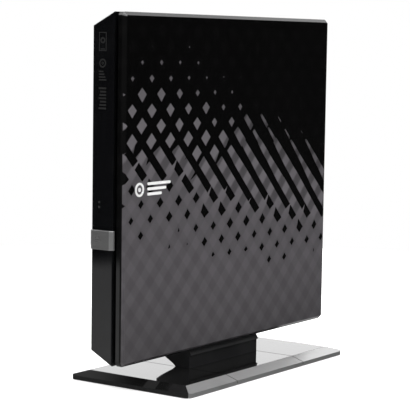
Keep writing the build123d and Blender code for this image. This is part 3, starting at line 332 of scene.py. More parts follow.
@material("pattern_gloss")
def build_pattern(g, shader):
    """Painted reflection on the diamond-cut panel: black at the top, dark grey below; between them diamonds,
    then stripes, then black diamonds. The lattice follows the panel's own cut; its grey and black stand in
    for the bright and dark surroundings the facets reflect.
    """
    x, y, z = g.split(g.coords())
    from_front = g.math("SUBTRACT", y, COVER_FRONT)
    from_top = g.math("SUBTRACT", COVER_TOP, z)
    a = g.math("ADD", g.math("DIVIDE", g.math("ADD", from_front, from_top), LATTICE), 0.52)
    b = g.math("ADD", g.math("DIVIDE", g.math("SUBTRACT", from_front, from_top), LATTICE), 0.65)
    a = g.math("MULTIPLY_ADD", g.math("SUBTRACT", g.noise(45.0, 1.0), 0.5), 0.16, a)
    rise = triangle_wave(g, a)
    fall = triangle_wave(g, b)

    front_mm = g.math("DIVIDE", from_front, MM)
    top_mm = g.math("DIVIDE", from_top, MM)
    first = g.math("MULTIPLY_ADD", g.math("MAXIMUM", g.math("SUBTRACT", front_mm, 42.0), 0.0), 0.42, 17.0)
    last = g.mix(g.smooth(front_mm, 12.0, 80.0), 88.0, 107.0)
    middle = g.math("MULTIPLY", g.math("ADD", first, last), 0.5)
    half = g.math("MULTIPLY", g.math("SUBTRACT", last, first), 0.5)
    level = g.math("DIVIDE", g.math("SUBTRACT", top_mm, middle), half)

    half_a = g.math("ADD", a, 0.5)
    half_b = g.math("ADD", b, 0.5)
    grey_level = g.math("ADD", level, cell_noise(g, half_a, half_b, 0.16))
    black_level = g.math("ADD", level, cell_noise(g, a, b, 0.17))
    stripes_from = g.mix(g.smooth(front_mm, 45.0, 108.0), 0.30, -0.8)
    fall_limit = g.math("MULTIPLY_ADD", ramp(g, grey_level, -1.15, -0.25), -1.22, 1.1)
    fall_limit = g.math("MULTIPLY_ADD", ramp(g, black_level, 0.5, 1.12), -0.45, fall_limit)
    fall_limit = g.math("MULTIPLY_ADD", ramp(g, black_level, 1.0, 1.12), -0.8, fall_limit)
    rise_limit = g.math("MULTIPLY_ADD", ramp(g, grey_level, -1.15, -0.35), -1.1, 1.1)
    merging = g.math("SUBTRACT", stripes_from, 0.3)
    rise_limit = g.math("MULTIPLY_ADD", ramp(g, grey_level, merging, stripes_from), -2.05, rise_limit)
    gap_limit = g.math("MULTIPLY_ADD", ramp(g, black_level, 0.22, 0.46), -1.3, 1.1)
    gap_limit = g.math("MULTIPLY_ADD", ramp(g, black_level, 0.46, 1.12), -0.45, gap_limit)
    gap_limit = g.math("MULTIPLY_ADD", ramp(g, black_level, 1.0, 1.12), -0.8, gap_limit)
    diamonds = g.math("MINIMUM", g.math("SUBTRACT", fall, fall_limit), g.math("SUBTRACT", rise, rise_limit))
    reach = g.math("MAXIMUM", diamonds, g.math("SUBTRACT", rise, gap_limit))
    # painted reflection: the lattice tones are laid only on the panel's outer face
    painted_reflection_face = g.smooth(x, COVER_HIGH.x - 1.0 * MM, COVER_HIGH.x - 0.8 * MM)
    shown = g.math("MULTIPLY", g.smooth(reach, -0.05, 0.05), painted_reflection_face)

    settled = g.smooth(level, 0.05, 0.6)
    steps = g.smooth(rise, -0.25, 0.25)
    rows = g.smooth(fall, -0.25, 0.25)
    # painted reflection tones: grey where the facets would mirror bright surroundings, near black where they
    # would mirror dark ones
    light = g.mix(settled, 0.108, 0.070)
    mid = g.mix(settled, 0.050, 0.060)
    grey = g.mix(steps, mid, light)
    grey = g.math("MULTIPLY", grey, g.math("MULTIPLY_ADD", g.math("MULTIPLY", rows, settled), 0.13, 0.95))
    patchy = g.mix(g.noise(120.0, 1.0), 0.88, 1.12)
    grey = g.math("MULTIPLY", grey, g.math("MULTIPLY", patchy, g.mix(g.smooth(level, -1.0, -0.2), 0.62, 1.0)))
    # painted shade: the grey is made darker towards the bottom of the panel to hold back the light it takes
    # from the floor below
    grey = g.math("MULTIPLY", grey, g.mix(g.smooth(level, 0.9, 3.2), 1.0, 0.55))
    dark = g.math("MULTIPLY_ADD", g.math("MULTIPLY", steps, rows), 0.0008, 0.0004)
    value = g.mix(shown, dark, grey)
    colour = g.join(
        g.math("MULTIPLY", value, 1.02),
        g.math("MULTIPLY", value, 0.95),
        g.math("MULTIPLY", value, 1.03),
    )
    g.link(colour, shader.inputs["Base Color"])
    smudge = g.noise(38.0, 3.0)
    g.link(g.mix(smudge, 0.34, 0.46), shader.inputs["Roughness"])
    shader.inputs["Specular IOR Level"].default_value = 0.08
    shader.inputs["Coat Weight"].default_value = 1.0
    shader.inputs["Coat Roughness"].default_value = 0.03
    shader.inputs["Coat IOR"].default_value = 1.5
    g.link(g.bump(g.noise(300.0, 2.0), 0.06, 0.00002), shader.inputs["Normal"])


@material("gloss_black")
def build_gloss(g, shader):
    """Piano-black moulding: deep black, faint orange peel and fine handling haze."""
    haze = g.noise(60.0, 4.0)
    colour = g.tint(g.smooth(haze, 0.45, 0.75), (0.0025, 0.0026, 0.003), (0.0045, 0.0046, 0.005))
    g.link(colour, shader.inputs["Base Color"])
    g.link(g.mix(haze, 0.015, 0.05), shader.inputs["Roughness"])
    g.link(g.bump(g.noise(420.0, 2.0), 0.05, 0.00002), shader.inputs["Normal"])


@material("stand_gloss")
def build_stand_gloss(g, shader):
    """Mirror-polished lacquer of the stand's plate."""
    haze = g.noise(26.0, 4.0)
    g.link(g.mix(haze, 0.0045, 0.007), shader.inputs["Base Color"])
    g.link(g.mix(g.noise(9.0, 3.0), 0.03, 0.06), shader.inputs["Roughness"])
    g.link(g.bump(g.noise(160.0, 2.0), 0.03, 0.00002), shader.inputs["Normal"])


@material("case_black")
def build_case(g, shader):
    """Spark-eroded matte black moulding."""
    grain = g.noise(2600.0, 3.0, roughness=0.7)
    colour = g.tint(g.smooth(g.noise(55.0, 4.0), 0.5, 0.8), (0.010, 0.010, 0.011), (0.019, 0.019, 0.020))
    g.link(colour, shader.inputs["Base Color"])
    g.link(g.mix(grain, 0.42, 0.62), shader.inputs["Roughness"])
    g.link(g.bump(grain, 0.35, 0.00004), shader.inputs["Normal"])


@material("tray_black")
def build_tray(g, shader):
    """Slightly smoother dark grey plastic of the tray and its mechanism."""
    grain = g.noise(1800.0, 2.0)
    g.link(g.mix(g.noise(30.0), 0.016, 0.024), shader.inputs["Base Color"])
    g.link(g.mix(grain, 0.32, 0.5), shader.inputs["Roughness"])
    g.link(g.bump(grain, 0.2, 0.00003), shader.inputs["Normal"])


@material("rail_grey")
def build_rail_grey(g, shader):
    grain = g.noise(1500.0, 2.0)
    g.link(g.mix(g.noise(45.0), 0.16, 0.2), shader.inputs["Base Color"])
    g.link(g.mix(grain, 0.3, 0.45), shader.inputs["Roughness"])
    g.link(g.bump(grain, 0.15, 0.00003), shader.inputs["Normal"])


def satin_metal(g, shader, low, high, roughness, scale, gain=1.0):
    """Painted or plated metal with grain along one axis and patches of tarnish."""
    grain = g.noise(1.0, 2.0, g.stretched(*(3.0 * size for size in scale)))
    tarnish = g.mix(g.smooth(g.noise(70.0, 4.0), 0.5, 0.8), 1.0, 0.86)
    level = g.math("MULTIPLY", g.mix(grain, low, high), g.math("MULTIPLY", tarnish, gain))
    g.link(level, shader.inputs["Base Color"])
    g.link(g.mix(grain, roughness - 0.05, roughness + 0.06), shader.inputs["Roughness"])
    g.link(g.bump(grain, 0.03, 0.00001), shader.inputs["Normal"])


@material("silver_trim")
def build_trim(g, shader):
    shader.inputs["Metallic"].default_value = 1.0
    satin_metal(g, shader, 0.60, 0.68, 0.30, (900.0, 40.0, 900.0))


@material("button_silver")
def build_button(g, shader):
    shader.inputs["Metallic"].default_value = 0.6
    x, _, _ = g.split(g.coords())
    # painted highlight: the slope at the cover end of the key is coloured 1.75 times lighter, standing in for
    # the bright reflection it catches
    painted_highlight_mask = g.smooth(x, BUTTON_HIGH.x - KEY_CHAMFER - 0.1 * MM, BUTTON_HIGH.x - KEY_CHAMFER + 0.1 * MM)
    satin_metal(g, shader, 0.12, 0.15, 0.34, (60.0, 900.0, 900.0), g.mix(painted_highlight_mask, 1.0, 1.75))


@material("badge_silver")
def build_badge(g, shader):
    shader.inputs["Metallic"].default_value = 0.35
    satin_metal(g, shader, 0.86, 0.93, 0.25, (500.0, 80.0, 500.0))
    # painted light: a faint white emission makes the badge glow brighter than the lamps alone light it
    shader.inputs["Emission Color"].default_value = (1.0, 1.0, 1.0, 1.0)
    shader.inputs["Emission Strength"].default_value = 0.12


@material("sheet_steel")
def build_sheet(g, shader):
    shader.inputs["Metallic"].default_value = 1.0
    satin_metal(g, shader, 0.48, 0.58, 0.32, (500.0, 30.0, 500.0))


@material("motor_steel")
def build_motor(g, shader):
    shader.inputs["Metallic"].default_value = 1.0
    satin_metal(g, shader, 0.38, 0.46, 0.26, (400.0, 400.0, 60.0))


@material("screw_steel")
def build_screw(g, shader):
    shader.inputs["Metallic"].default_value = 1.0
    satin_metal(g, shader, 0.34, 0.44, 0.30, (900.0, 900.0, 900.0))


@material("rubber_black")
def build_rubber(g, shader):
    grain = g.noise(2200.0, 3.0, roughness=0.7)
    g.link(g.mix(g.noise(80.0), 0.012, 0.022), shader.inputs["Base Color"])
    g.link(g.mix(grain, 0.7, 0.9), shader.inputs["Roughness"])
    g.link(g.bump(grain, 0.4, 0.00005), shader.inputs["Normal"])


@material("board_green")
def build_board(g, shader):
    """Green solder mask with paler copper runs on a fine grid."""
    runs_per_metre = 620.0
    _, y, z = g.split(g.coords())
    run_y = g.math("FRACT", g.math("MULTIPLY", y, runs_per_metre))
    run_z = g.math("FRACT", g.math("MULTIPLY", z, runs_per_metre))
    blocks = g.noise(210.0, 0.0)
    across = g.math("MULTIPLY", g.smooth(run_y, 0.62, 0.7), g.smooth(blocks, 0.5, 0.54))
    along = g.math("MULTIPLY", g.smooth(run_z, 0.62, 0.7), g.smooth(blocks, 0.5, 0.46))
    runs = g.math("MAXIMUM", across, along)
    g.link(g.tint(runs, (0.004, 0.05, 0.022), (0.012, 0.13, 0.05)), shader.inputs["Base Color"])
    g.link(g.mix(runs, 0.32, 0.24), shader.inputs["Roughness"])
    g.link(g.bump(runs, 0.3, 0.00003), shader.inputs["Normal"])


@material("chip_black")
def build_chip(g, shader):
    grain = g.noise(2400.0, 2.0)
    g.link(g.mix(grain, 0.016, 0.026), shader.inputs["Base Color"])
    g.link(g.mix(grain, 0.5, 0.65), shader.inputs["Roughness"])
    g.link(g.bump(grain, 0.2, 0.00003), shader.inputs["Normal"])


@material("flex_film")
def build_flex(g, shader):
    """Amber polyimide ribbon with darker copper lines along its length."""
    lines_per_metre = 1600.0
    _, _, z = g.split(g.coords())
    lines = g.smooth(g.math("FRACT", g.math("MULTIPLY", z, lines_per_metre)), 0.45, 0.6)
    g.link(g.tint(lines, (0.36, 0.17, 0.035), (0.20, 0.085, 0.02)), shader.inputs["Base Color"])
    g.link(g.mix(lines, 0.28, 0.36), shader.inputs["Roughness"])
    g.link(g.bump(lines, 0.2, 0.00002), shader.inputs["Normal"])


@material("light_clear")
def build_light(g, shader):
    g.link(g.mix(g.noise(900.0), 0.018, 0.026), shader.inputs["Base Color"])
    shader.inputs["Roughness"].default_value = 0.25
    shader.inputs["Coat Weight"].default_value = 0.5


@material("lens_glass")
def build_lens(g, shader):
    """Coated lens: blue-violet sheen over a dark cell."""
    facing = g.node("ShaderNodeLayerWeight").outputs["Facing"]
    g.link(g.tint(facing, (0.05, 0.06, 0.16), (0.22, 0.10, 0.30)), shader.inputs["Base Color"])
    g.link(g.mix(g.noise(700.0), 0.02, 0.05), shader.inputs["Roughness"])
    shader.inputs["Coat Weight"].default_value = 1.0
    shader.inputs["Coat Roughness"].default_value = 0.02


@material("print_grey")
def build_print(g, shader):
    """Pad-printed dark grey ink."""
    grain = g.noise(3000.0, 2.0)
    g.link(g.mix(grain, 0.005, 0.009), shader.inputs["Base Color"])
    shader.inputs["Roughness"].default_value = 0.45
    g.link(g.bump(grain, 0.1, 0.00001), shader.inputs["Normal"])


@material("gold_contact")
def build_gold(g, shader):
    shader.inputs["Metallic"].default_value = 1.0
    grain = g.noise(2500.0, 2.0)
    g.link(g.tint(grain, (0.80, 0.55, 0.20), (0.90, 0.66, 0.28)), shader.inputs["Base Color"])
    g.link(g.mix(grain, 0.2, 0.3), shader.inputs["Roughness"])


@material("part_beige")
def build_part_beige(g, shader):
    """Ceramic body of small board parts."""
    grain = g.noise(2500.0, 2.0)
    g.link(g.tint(grain, (0.20, 0.14, 0.085), (0.27, 0.19, 0.12)), shader.inputs["Base Color"])
    g.link(g.mix(grain, 0.4, 0.55), shader.inputs["Roughness"])


# ---------------------------------------------------------------- pieces
def dress(node, name):
    """Give a CAD node its material."""
    obj = NODES[node]
    obj.data.materials.clear()
    obj.data.materials.append(MATERIALS[name])
    return obj


def soften(obj, width, segments=3, angle=28.0):
    """Round every sharp edge a little, as a moulded or stamped piece has it."""
    bevel = obj.modifiers.new("soft_edges", "BEVEL")
    bevel.width = width
    bevel.segments = segments
    bevel.limit_method = "ANGLE"
    bevel.angle_limit = math.radians(angle)
    bevel.harden_normals = True
    bevel.miter_outer = "MITER_ARC"


SPECIAL = {
    "cover_panel": "pattern_gloss",
    "stand_front_plate": "stand_gloss",
    "stand_middle_plate": "stand_gloss",
    "stand_rear_plate": "stand_gloss",
}
EDGE_SOFTNESS = {
    "cover_panel": 0.30 * MM,
    "upper_case": 0.15 * MM,
    "bottom_case": 0.25 * MM,
    "tray_bezel": 0.12 * MM,
    "eject_button": 0.15 * MM,
    "stand_front_plate": 0.18 * MM,
    "stand_middle_plate": 0.18 * MM,
    "stand_rear_plate": 0.18 * MM,
    "stand_front_trim": 0.24 * MM,
    "stand_middle_trim": 0.24 * MM,
    "stand_rear_trim": 0.24 * MM,
    "stand_cradle": 0.3 * MM,
    "cover_badge": 0.06 * MM,
    "disc_tray": 0.2 * MM,
    "traverse_frame": 0.2 * MM,
}
FINE_SOFTNESS = 0.05 * MM


def dress_cad():
    for node, slot in SLOT_OF.items():
        obj = dress(node, SPECIAL.get(node, slot))
        soften(obj, EDGE_SOFTNESS.get(node, FINE_SOFTNESS))


# ---------------------------------------------------------------- mesh helpers
def new_piece(name, bm, material_name, body, soft=0.0):
    """Name a finished bmesh, give it its material and let it ride on a body."""
    bmesh.ops.recalc_face_normals(bm, faces=bm.faces)
    mesh = bpy.data.meshes.new(name)
    bm.to_mesh(mesh)
    bm.free()
    obj = bpy.data.objects.new(name, mesh)
    bpy.context.scene.collection.objects.link(obj)
    mesh.materials.append(MATERIALS[material_name])
    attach(obj, body)
    if soft:
        soften(obj, soft)
    return obj


def add_block(bm, low, high):
    """A box between two opposite corners."""
    made = bmesh.ops.create_cube(bm, size=1.0)["verts"]
    middle = (Vector(low) + Vector(high)) / 2
    size = Vector(high) - Vector(low)
    for vert in made:
        vert.co = middle + Vector(a * b for a, b in zip(vert.co, size))


def add_prism(bm, outline, near, far):
    """A flat shape given as (X, Z) points, standing between two depths along Y."""
    front = [bm.verts.new((x, near, z)) for x, z in outline]
    back = [bm.verts.new((x, far, z)) for x, z in outline]
    bm.faces.new(front)
    bm.faces.new(list(reversed(back)))
    for i, vert in enumerate(front):
        j = (i + 1) % len(front)
        bm.faces.new((vert, back[i], back[j], front[j]))


def add_ring(bm, centre, outer, inner, near, far, steps=32):
    """A flat ring in the X-Z plane between two depths along Y."""
    loops = []
    for radius in (outer, inner):
        for depth in (near, far):
            loops.append([
                bm.verts.new((
                    centre[0] + radius * math.cos(math.tau * k / steps),
                    depth,
                    centre[1] + radius * math.sin(math.tau * k / steps),
                ))
                for k in range(steps)
            ])
    outer_near, outer_far, inner_near, inner_far = loops
    for k in range(steps):
        j = (k + 1) % steps
        for a, b in (
            (outer_near, inner_near),
            (outer_far, inner_far),
            (outer_near, outer_far),
            (inner_near, inner_far),
        ):
            bm.faces.new((a[k], a[j], b[j], b[k]))


def add_turned(bm, profile, centre, axis, steps=48):
    """A turned solid: profile is (radius, distance along the axis) from one end to the other."""
    axis = Vector(axis).normalized()
    side = axis.orthogonal().normalized()
    other = axis.cross(side)
    loops = []
    for radius, along in profile:
        loops.append([
            bm.verts.new(
                Vector(centre) + axis * along
                + (side * math.cos(math.tau * k / steps) + other * math.sin(math.tau * k / steps)) * radius
            )
            for k in range(steps)
        ])
    for first, second in zip(loops, loops[1:]):
        for k in range(steps):
            j = (k + 1) % steps
            bm.faces.new((first[k], first[j], second[j], second[k]))
    bm.faces.new(list(reversed(loops[0])))
    bm.faces.new(loops[-1])


def islands(node):
    """Bounding corners of each separate solid in a CAD node, in the row frame."""
    obj = NODES[node]
    bm = bmesh.new()
    bm.from_mesh(obj.data)
    bm.transform(obj.matrix_world)
    bmesh.ops.remove_doubles(bm, verts=bm.verts, dist=0.002 * MM)
    unseen = set(bm.verts)
    found = []
    while unseen:
        stack = [unseen.pop()]
        group = []
        while stack:
            vert = stack.pop()
            group.append(vert.co.copy())
            for edge in vert.link_edges:
                other = edge.other_vert(vert)
                if other in unseen:
                    unseen.remove(other)
                    stack.append(other)
        low = Vector(min(co[i] for co in group) for i in range(3))
        high = Vector(max(co[i] for co in group) for i in range(3))
        found.append((low, high, group))
    bm.free()
    return sorted(found, key=lambda item: tuple(item[0]))


# ---------------------------------------------------------------- front
def make_bezel_marks():
    """Three faint printed marks on the front: a framed disc, a ring over bars and a block of bars."""
    face = BEZEL_LOW.y
    near, far = face - 0.012 * MM, face + 0.1 * MM
    left, right = -3.4 * MM, 0.4 * MM
    middle = (left + right) / 2
    line = 0.38 * MM
    bm = bmesh.new()

    def bar(x0, x1, z0, z1):
        add_prism(bm, ((x0, z0), (x1, z0), (x1, z1), (x0, z1)), near, far)

    low, high = 139.0 * MM, 146.5 * MM
    bar(left, right, low, low + line)
    bar(left, right, high - line, high)
    bar(left, left + line, low + line, high - line)
    bar(right - line, right, low + line, high - line)
    add_ring(bm, (middle, (low + high) / 2 + 0.5 * MM), 1.25 * MM, 0.6 * MM, near, far)
    bar(left + 2 * line, right - 2 * line, low + 1.5 * line, low + 2.6 * line)

    low, high = 127.3 * MM, 136.2 * MM
    add_ring(bm, (middle, high - 2.0 * MM), 1.8 * MM, 1.15 * MM, near, far)
    add_ring(bm, (middle, high - 2.0 * MM), 0.6 * MM, 0.25 * MM, near, far)
    for row in range(4):
        base = low + row * 1.1 * MM
        bar(left, right - row * 0.5 * MM, base, base + 0.6 * MM)

    low, high = 115.9 * MM, 125.2 * MM
    rows = 7
    pitch = (high - low) / rows
    for row in range(rows):
        base = low + row * pitch
        inset = (row % 3) * 0.35 * MM
        bar(left + inset, right, base, base + 0.55 * pitch)
    new_piece("bezel_marks", bm, "print_grey", "tray")


def make_button():
    """Satin eject key with rounded edges, its stem, and a raised triangle over a bar."""
    low, high = BUTTON_LOW, BUTTON_HIGH
    relief = 0.05 * MM
    thick = 1.7 * MM
    stem_half = 1.0 * MM
    stem_x = -1.6 * MM
    middle_z = (low.z + high.z) / 2
    face = low.y + relief
    back = low.y + thick
    edge = 0.35 * MM
    bevel_start = high.x - KEY_CHAMFER
    outline = (
        (low.x, back),
        (low.x, face + edge),
        (low.x + edge, face),
        (bevel_start, face),
        (high.x - 0.1 * MM, face + 0.85 * MM),
        (high.x, face + 1.0 * MM),
        (high.x, back),
    )
    bm = bmesh.new()
    bottom = [bm.verts.new((x, y, low.z)) for x, y in outline]
    top = [bm.verts.new((x, y, high.z)) for x, y in outline]
    bm.faces.new(bottom)
    bm.faces.new(list(reversed(top)))
    for i, vert in enumerate(bottom):
        j = (i + 1) % len(bottom)
        bm.faces.new((vert, top[i], top[j], bottom[j]))
    rims = [
        rim for rim in bm.edges
        if abs(rim.verts[0].co.z - rim.verts[1].co.z) < 0.01 * MM
        and max(vert.co.y for vert in rim.verts) < face + 1.01 * MM
    ]
    bmesh.ops.bevel(bm, geom=rims, offset=0.4 * MM, segments=4, profile=0.5, affect="EDGES")
    add_block(
        bm,
        (stem_x - stem_half, low.y + thick - 0.1 * MM, middle_z - stem_half),
        (stem_x + stem_half, high.y, middle_z + stem_half),
    )
    key = new_piece("eject_key", bm, "button_silver", "button", 0.06 * MM)
    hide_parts("eject_button")

    centre_x = -2.7 * MM
    centre_z = middle_z + 0.6 * MM
    half = 1.15 * MM
    bm = bmesh.new()
    add_prism(
        bm,
        (
            (centre_x - half, centre_z - 0.35 * MM),
            (centre_x + half, centre_z - 0.35 * MM),
            (centre_x, centre_z + 1.1 * MM),
        ),
        low.y,
        face + relief,
    )
    add_prism(
        bm,
        (
            (centre_x - half, centre_z - 1.15 * MM),
            (centre_x + half, centre_z - 1.15 * MM),
            (centre_x + half, centre_z - 0.75 * MM),
            (centre_x - half, centre_z - 0.75 * MM),
        ),
        low.y,
        face + relief,
    )
    new_piece("eject_symbol", bm, "screw_steel", "button")


# ---------------------------------------------------------------- turned and threaded pieces
def make_feet():
    """Four round rubber feet with a rounded rim and a shallow dish."""
    bm = bmesh.new()
    for low, high, _ in islands("rubber_feet"):
        radius = (high.y - low.y) / 2
        tall = high.x - low.x
        middle = (low + high) / 2
        round_off = 0.6 * MM
        arc_steps = 6
        profile = [(radius, 0.0), (radius, tall - round_off)]
        for step in range(1, arc_steps + 1):
            turn = math.pi / 2 * step / arc_steps
            profile.append((
                radius - round_off * (1 - math.cos(turn)),
                tall - round_off * (1 - math.sin(turn)),
            ))
        profile.append((radius - 1.5 * MM, tall))
        profile.append((radius - 1.9 * MM, tall - 0.25 * MM))
        profile.append((0.01 * MM, tall - 0.3 * MM))
        add_turned(bm, profile, (high.x, middle.y, middle.z), (-1, 0, 0))
    feet = new_piece("foot_discs", bm, "rubber_black", "drive")
    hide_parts("rubber_feet")


def make_lead_screw():
    """The sled's lead screw with its thread, one turn for every step of the coupling."""
    low, high = span("lead_screw")
    crest = (high.x - low.x) / 2
    root = 0.72 * crest
    middle = (low + high) / 2
    length = (high.y - low.y) * math.sqrt(2.0) - 2 * crest
    axis = Vector((0.0, -1.0, 1.0)).normalized()
    side = Vector((1.0, 0.0, 0.0))
    other = axis.cross(side)
    pitch = 3.0 * MM
    around = 24
    rings = int(length / (pitch / 16))
    bm = bmesh.new()
    loops = []
    for i in range(rings + 1):
        along = length * (i / rings - 0.5)
        loop = []
        for k in range(around):
            phase = (along / pitch - k / around) % 1.0
            lift = max(0.0, 1.0 - abs(phase - 0.5) * 3.2)
            radius = root + (crest - root) * min(1.0, lift * 1.6)
            turn = math.tau * k / around
            loop.append(bm.verts.new(
                middle + axis * along + (side * math.cos(turn) + other * math.sin(turn)) * radius
            ))
        loops.append(loop)
    for first, second in zip(loops, loops[1:]):
        for k in range(around):
            j = (k + 1) % around
            bm.faces.new((first[k], first[j], second[j], second[k]))
    bm.faces.new(list(reversed(loops[0])))
    bm.faces.new(loops[-1])
    screw = new_piece("threaded_screw", bm, "motor_steel", "lead_screw")
    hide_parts("lead_screw")
    for face in screw.data.polygons:
        face.use_smooth = True


SCREWS = {
    "case_screws": ("drive", 0),
    "chassis_screws": ("drive", 0),
    "bracket_screws": ("drive", 0),
    "traverse_screws": ("tray", 0),
    "wing_screws": ("stand", 2),
    "cradle_screws": ("stand", 2),
}


def off_axis(point, middle, along):
    """Distance of a point from a screw's axis."""
    return math.dist(
        [value for i, value in enumerate(point) if i != along],
        [value for i, value in enumerate(middle) if i != along],
    )


def make_screws():
    """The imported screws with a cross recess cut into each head."""
    for node, (body, along) in SCREWS.items():
        source = NODES[node]
        solid = bpy.data.objects.new("solid", source.data.copy())
        solid.matrix_world = source.matrix_world
        bm = bmesh.new()
        for low, high, points in islands(node):
            middle = (low + high) / 2
            ends = []
            for end in (low, high):
                near = [co for co in points if abs(co[along] - end[along]) < 0.05 * MM]
                ends.append((max(off_axis(co, middle, along) for co in near), end[along]))
            radius, head = max(ends)
            inward = 1.0 if head < middle[along] else -1.0
            arm = 0.62 * radius
            slot = 0.14 * radius
            deep = min(0.45 * MM, 0.4 * (high[along] - low[along]))
            for a, b in ((arm, slot), (slot, arm)):
                half = [a, b]
                half.insert(along, 0.0)
                half = Vector(half)
                base = middle.copy()
                base[along] = head
                lo, hi = base - half, base + half
                lo[along] = min(head - inward * 0.2 * MM, head + inward * deep)
                hi[along] = max(head - inward * 0.2 * MM, head + inward * deep)
                add_block(bm, lo, hi)
        cutter_mesh = bpy.data.meshes.new("cutter")
        bm.to_mesh(cutter_mesh)
        bm.free()
        cutter = bpy.data.objects.new("cutter", cutter_mesh)
        for obj in (solid, cutter):
            bpy.context.scene.collection.objects.link(obj)
        cut = solid.modifiers.new("cut", "BOOLEAN")
        cut.operation = "DIFFERENCE"
        cut.solver = "EXACT"
        cut.use_self = True
        cut.object = cutter
        view = bpy.context.evaluated_depsgraph_get()
        result = bpy.data.meshes.new_from_object(solid.evaluated_get(view))
        bm = bmesh.new()
        bm.from_mesh(result)
        bm.transform(solid.matrix_world)
        for obj in (solid, cutter):
            bpy.data.objects.remove(obj)
        piece = new_piece("recessed_" + node, bm, "screw_steel", body)
        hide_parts(node)


# ---------------------------------------------------------------- electronics
def make_legs(name, node, body, board_x, outward):
    """Gull-wing legs round every square-cornered chip of a node."""
    pitch = 0.8 * MM
    wide = 0.32 * MM
    reach = 0.75 * MM
    thick = 0.12 * MM
    bm = bmesh.new()
    for low, high, points in islands(node):
        if len(points) > 20:
            continue
        shoulder = board_x + outward * 0.45 * MM
        for across, along in ((1, 2), (2, 1)):
            count = int((high[along] - low[along] - 0.6 * MM) / pitch)
            start = (low[along] + high[along]) / 2 - (count - 1) * pitch / 2
            for k in range(count):
                place = start + k * pitch
                for edge, sign in ((low[across], -1.0), (high[across], 1.0)):
                    for inner, outer, x0, x1 in (
                        (-0.1 * MM, 0.4 * MM, shoulder, shoulder + outward * thick),
                        (0.3 * MM, 0.4 * MM, board_x, shoulder),
                        (0.3 * MM, reach, board_x, board_x + outward * thick),
                    ):
                        lo, hi = Vector(), Vector()
                        lo.x, hi.x = min(x0, x1), max(x0, x1)
                        lo[across], hi[across] = sorted((edge + sign * inner, edge + sign * outer))
                        lo[along], hi[along] = place - wide / 2, place + wide / 2
                        add_block(bm, lo, hi)
    new_piece(name, bm, "sheet_steel", body)


def make_small_parts(name, board, chips, body, face_x, outward, count, seed):
    """Chip resistors and capacitors scattered over the free ground of a board."""
    rng = random.Random(seed)
    source = NODES[board]
    low, high = span(board)
    inverse = source.matrix_world.inverted()
    taken = [(lo, hi) for lo, hi, _ in islands(chips)]
    margin = 1.1 * MM
    bodies, ends = bmesh.new(), bmesh.new()
    placed = 0
    for _ in range(count * 30):
        if placed == count:
            break
        y = rng.uniform(low.y, high.y)
        z = rng.uniform(low.z, high.z)
        long_y = rng.random() < 0.5
        scale = rng.choice((0.5, 0.5, 0.8))
        half_y, half_z = ((1.0, 0.5) if long_y else (0.5, 1.0))
        half_y, half_z = half_y * scale * MM, half_z * scale * MM
        reach_y, reach_z = half_y + 0.3 * MM, half_z + 0.3 * MM
        corners = [(y + a * reach_y, z + b * reach_z) for a in (-1, 1) for b in (-1, 1)]
        on_board = all(
            source.ray_cast(
                inverse @ Vector((face_x + outward * 3 * MM, cy, cz)),
                Vector((-outward, 0.0, 0.0)),
                distance=3.05 * MM,
            )[0]
            for cy, cz in corners
        )
        clear = all(
            y + half_y + margin < lo.y or y - half_y - margin > hi.y
            or z + half_z + margin < lo.z or z - half_z - margin > hi.z
            for lo, hi in taken
        )
        if not (on_board and clear):
            continue
        tall = 0.45 * MM
        x0, x1 = sorted((face_x - outward * 0.02 * MM, face_x + outward * tall))
        lo, hi = Vector((x0, y - half_y, z - half_z)), Vector((x1, y + half_y, z + half_z))
        add_block(bodies, lo, hi)
        along = 1 if long_y else 2
        cap = 0.22 * (hi[along] - lo[along])
        skin = 0.02 * MM
        for start, stop in ((lo[along], lo[along] + cap), (hi[along] - cap, hi[along])):
            end_lo, end_hi = lo - Vector((0, skin, skin)), hi + Vector((0, skin, skin))
            end_lo[along], end_hi[along] = start - skin, stop
            if outward > 0:
                end_hi.x += skin
            else:
                end_lo.x -= skin
            add_block(ends, end_lo, end_hi)
        taken.append((lo, hi))
        placed += 1
    new_piece(name + "_bodies", bodies, "part_beige", body)
    new_piece(name + "_ends", ends, "sheet_steel", body)


def make_contacts():
    """Gold strips on the USB tongue and on the drive's plug."""
    low, high = span("usb_tongue")
    skin = 0.06 * MM
    bm = bmesh.new()
    strips = 5
    pitch = (high.z - low.z) / strips
    for k in range(strips):
        middle = low.z + (k + 0.5) * pitch
        add_block(
            bm,
            (high.x - 0.02 * MM, low.y + 0.4 * MM, middle - 0.22 * pitch),
            (high.x + skin, high.y - 0.3 * MM, middle + 0.22 * pitch),
        )
    low, high = span("drive_connector")
    middle_x = (low.x + high.x) / 2
    tongue_half = 0.45 * MM
    pitch = 1.27 * MM
    for k in range(13):
        place = low.z + 2.4 * MM + k * pitch + (2.0 * MM if k > 6 else 0.0)
        add_block(
            bm,
            (middle_x + tongue_half - 0.02 * MM, high.y - 2.3 * MM, place - 0.3 * MM),
            (middle_x + tongue_half + skin, high.y - 0.2 * MM, place + 0.3 * MM),
        )
    new_piece("gold_strips", bm, "gold_contact", "drive")


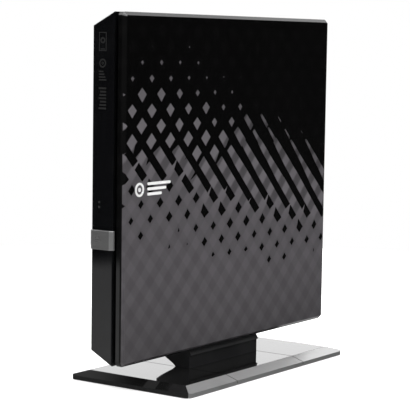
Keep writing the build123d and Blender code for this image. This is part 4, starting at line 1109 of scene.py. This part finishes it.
def make_flex():
    """Ribbon from the rear board to the tray's board, with one fold; its socket rides on the tray."""
    low, high = span("flex_cable")
    skin = 0.12 * MM
    base = low.x + 0.02 * MM
    fold_r = 1.0 * MM
    path = [(base, high.y - (high.y - low.y) * k / 60) for k in range(61)]
    for k in range(1, 13):
        turn = math.pi * k / 12
        path.append((base + fold_r * (1 - math.cos(turn)), low.y - fold_r * math.sin(turn)))
    path.append((base + 2 * fold_r, low.y + 15.0 * MM))
    bm = bmesh.new()
    rows = []
    for i, (x, y) in enumerate(path):
        before, after = path[max(0, i - 1)], path[min(len(path) - 1, i + 1)]
        along = Vector((after[0] - before[0], after[1] - before[1])).normalized()
        normal = Vector((-along.y, along.x)) * skin / 2
        rows.append([
            bm.verts.new((x + side * normal.x, y + side * normal.y, z))
            for side, z in ((-1, low.z), (-1, high.z - 2.2 * MM), (1, high.z - 2.2 * MM), (1, low.z))
        ])
    for first, second in zip(rows, rows[1:]):
        for k in range(4):
            j = (k + 1) % 4
            bm.faces.new((first[k], first[j], second[j], second[k]))
    bm.faces.new(list(reversed(rows[0])))
    bm.faces.new(rows[-1])
    bmesh.ops.recalc_face_normals(bm, faces=bm.faces)
    mesh = bpy.data.meshes.new("flex_ribbon")
    bm.to_mesh(mesh)
    bm.free()
    ribbon = bpy.data.objects.new("flex_ribbon", mesh)
    bpy.context.scene.collection.objects.link(ribbon)
    mesh.materials.append(MATERIALS["flex_film"])
    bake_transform(ribbon)
    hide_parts("flex_cable")
    bm = bmesh.new()
    board_low, _ = span("tray_board")
    add_block(
        bm,
        (base + 2 * fold_r - 0.3 * MM, low.y + 14.5 * MM, low.z - 0.2 * MM),
        (board_low.x, low.y + 18.5 * MM, high.z - 2.0 * MM),
    )
    new_piece("flex_socket", bm, "part_beige", "tray", soft=0.1 * MM)


def make_electronics():
    bridge_face = span("bridge_board")[1].x
    tray_face = span("tray_board")[0].x
    make_legs("bridge_legs", "bridge_chips", "drive", bridge_face, 1.0)
    make_legs("tray_legs", "tray_chips", "tray", tray_face, -1.0)
    make_small_parts("bridge_small", "bridge_board", "bridge_chips", "drive", bridge_face, 1.0, 46, 3)
    make_small_parts("tray_small", "tray_board", "tray_chips", "tray", tray_face, -1.0, 70, 5)
    make_contacts()
    make_flex()


make_camera()
make_world()
make_floor()
make_lights()
dress_cad()
make_bezel_marks()
make_button()
make_feet()
make_lead_screw()
make_screws()
make_electronics()

bpy.context.scene.view_settings.view_transform = "Standard"
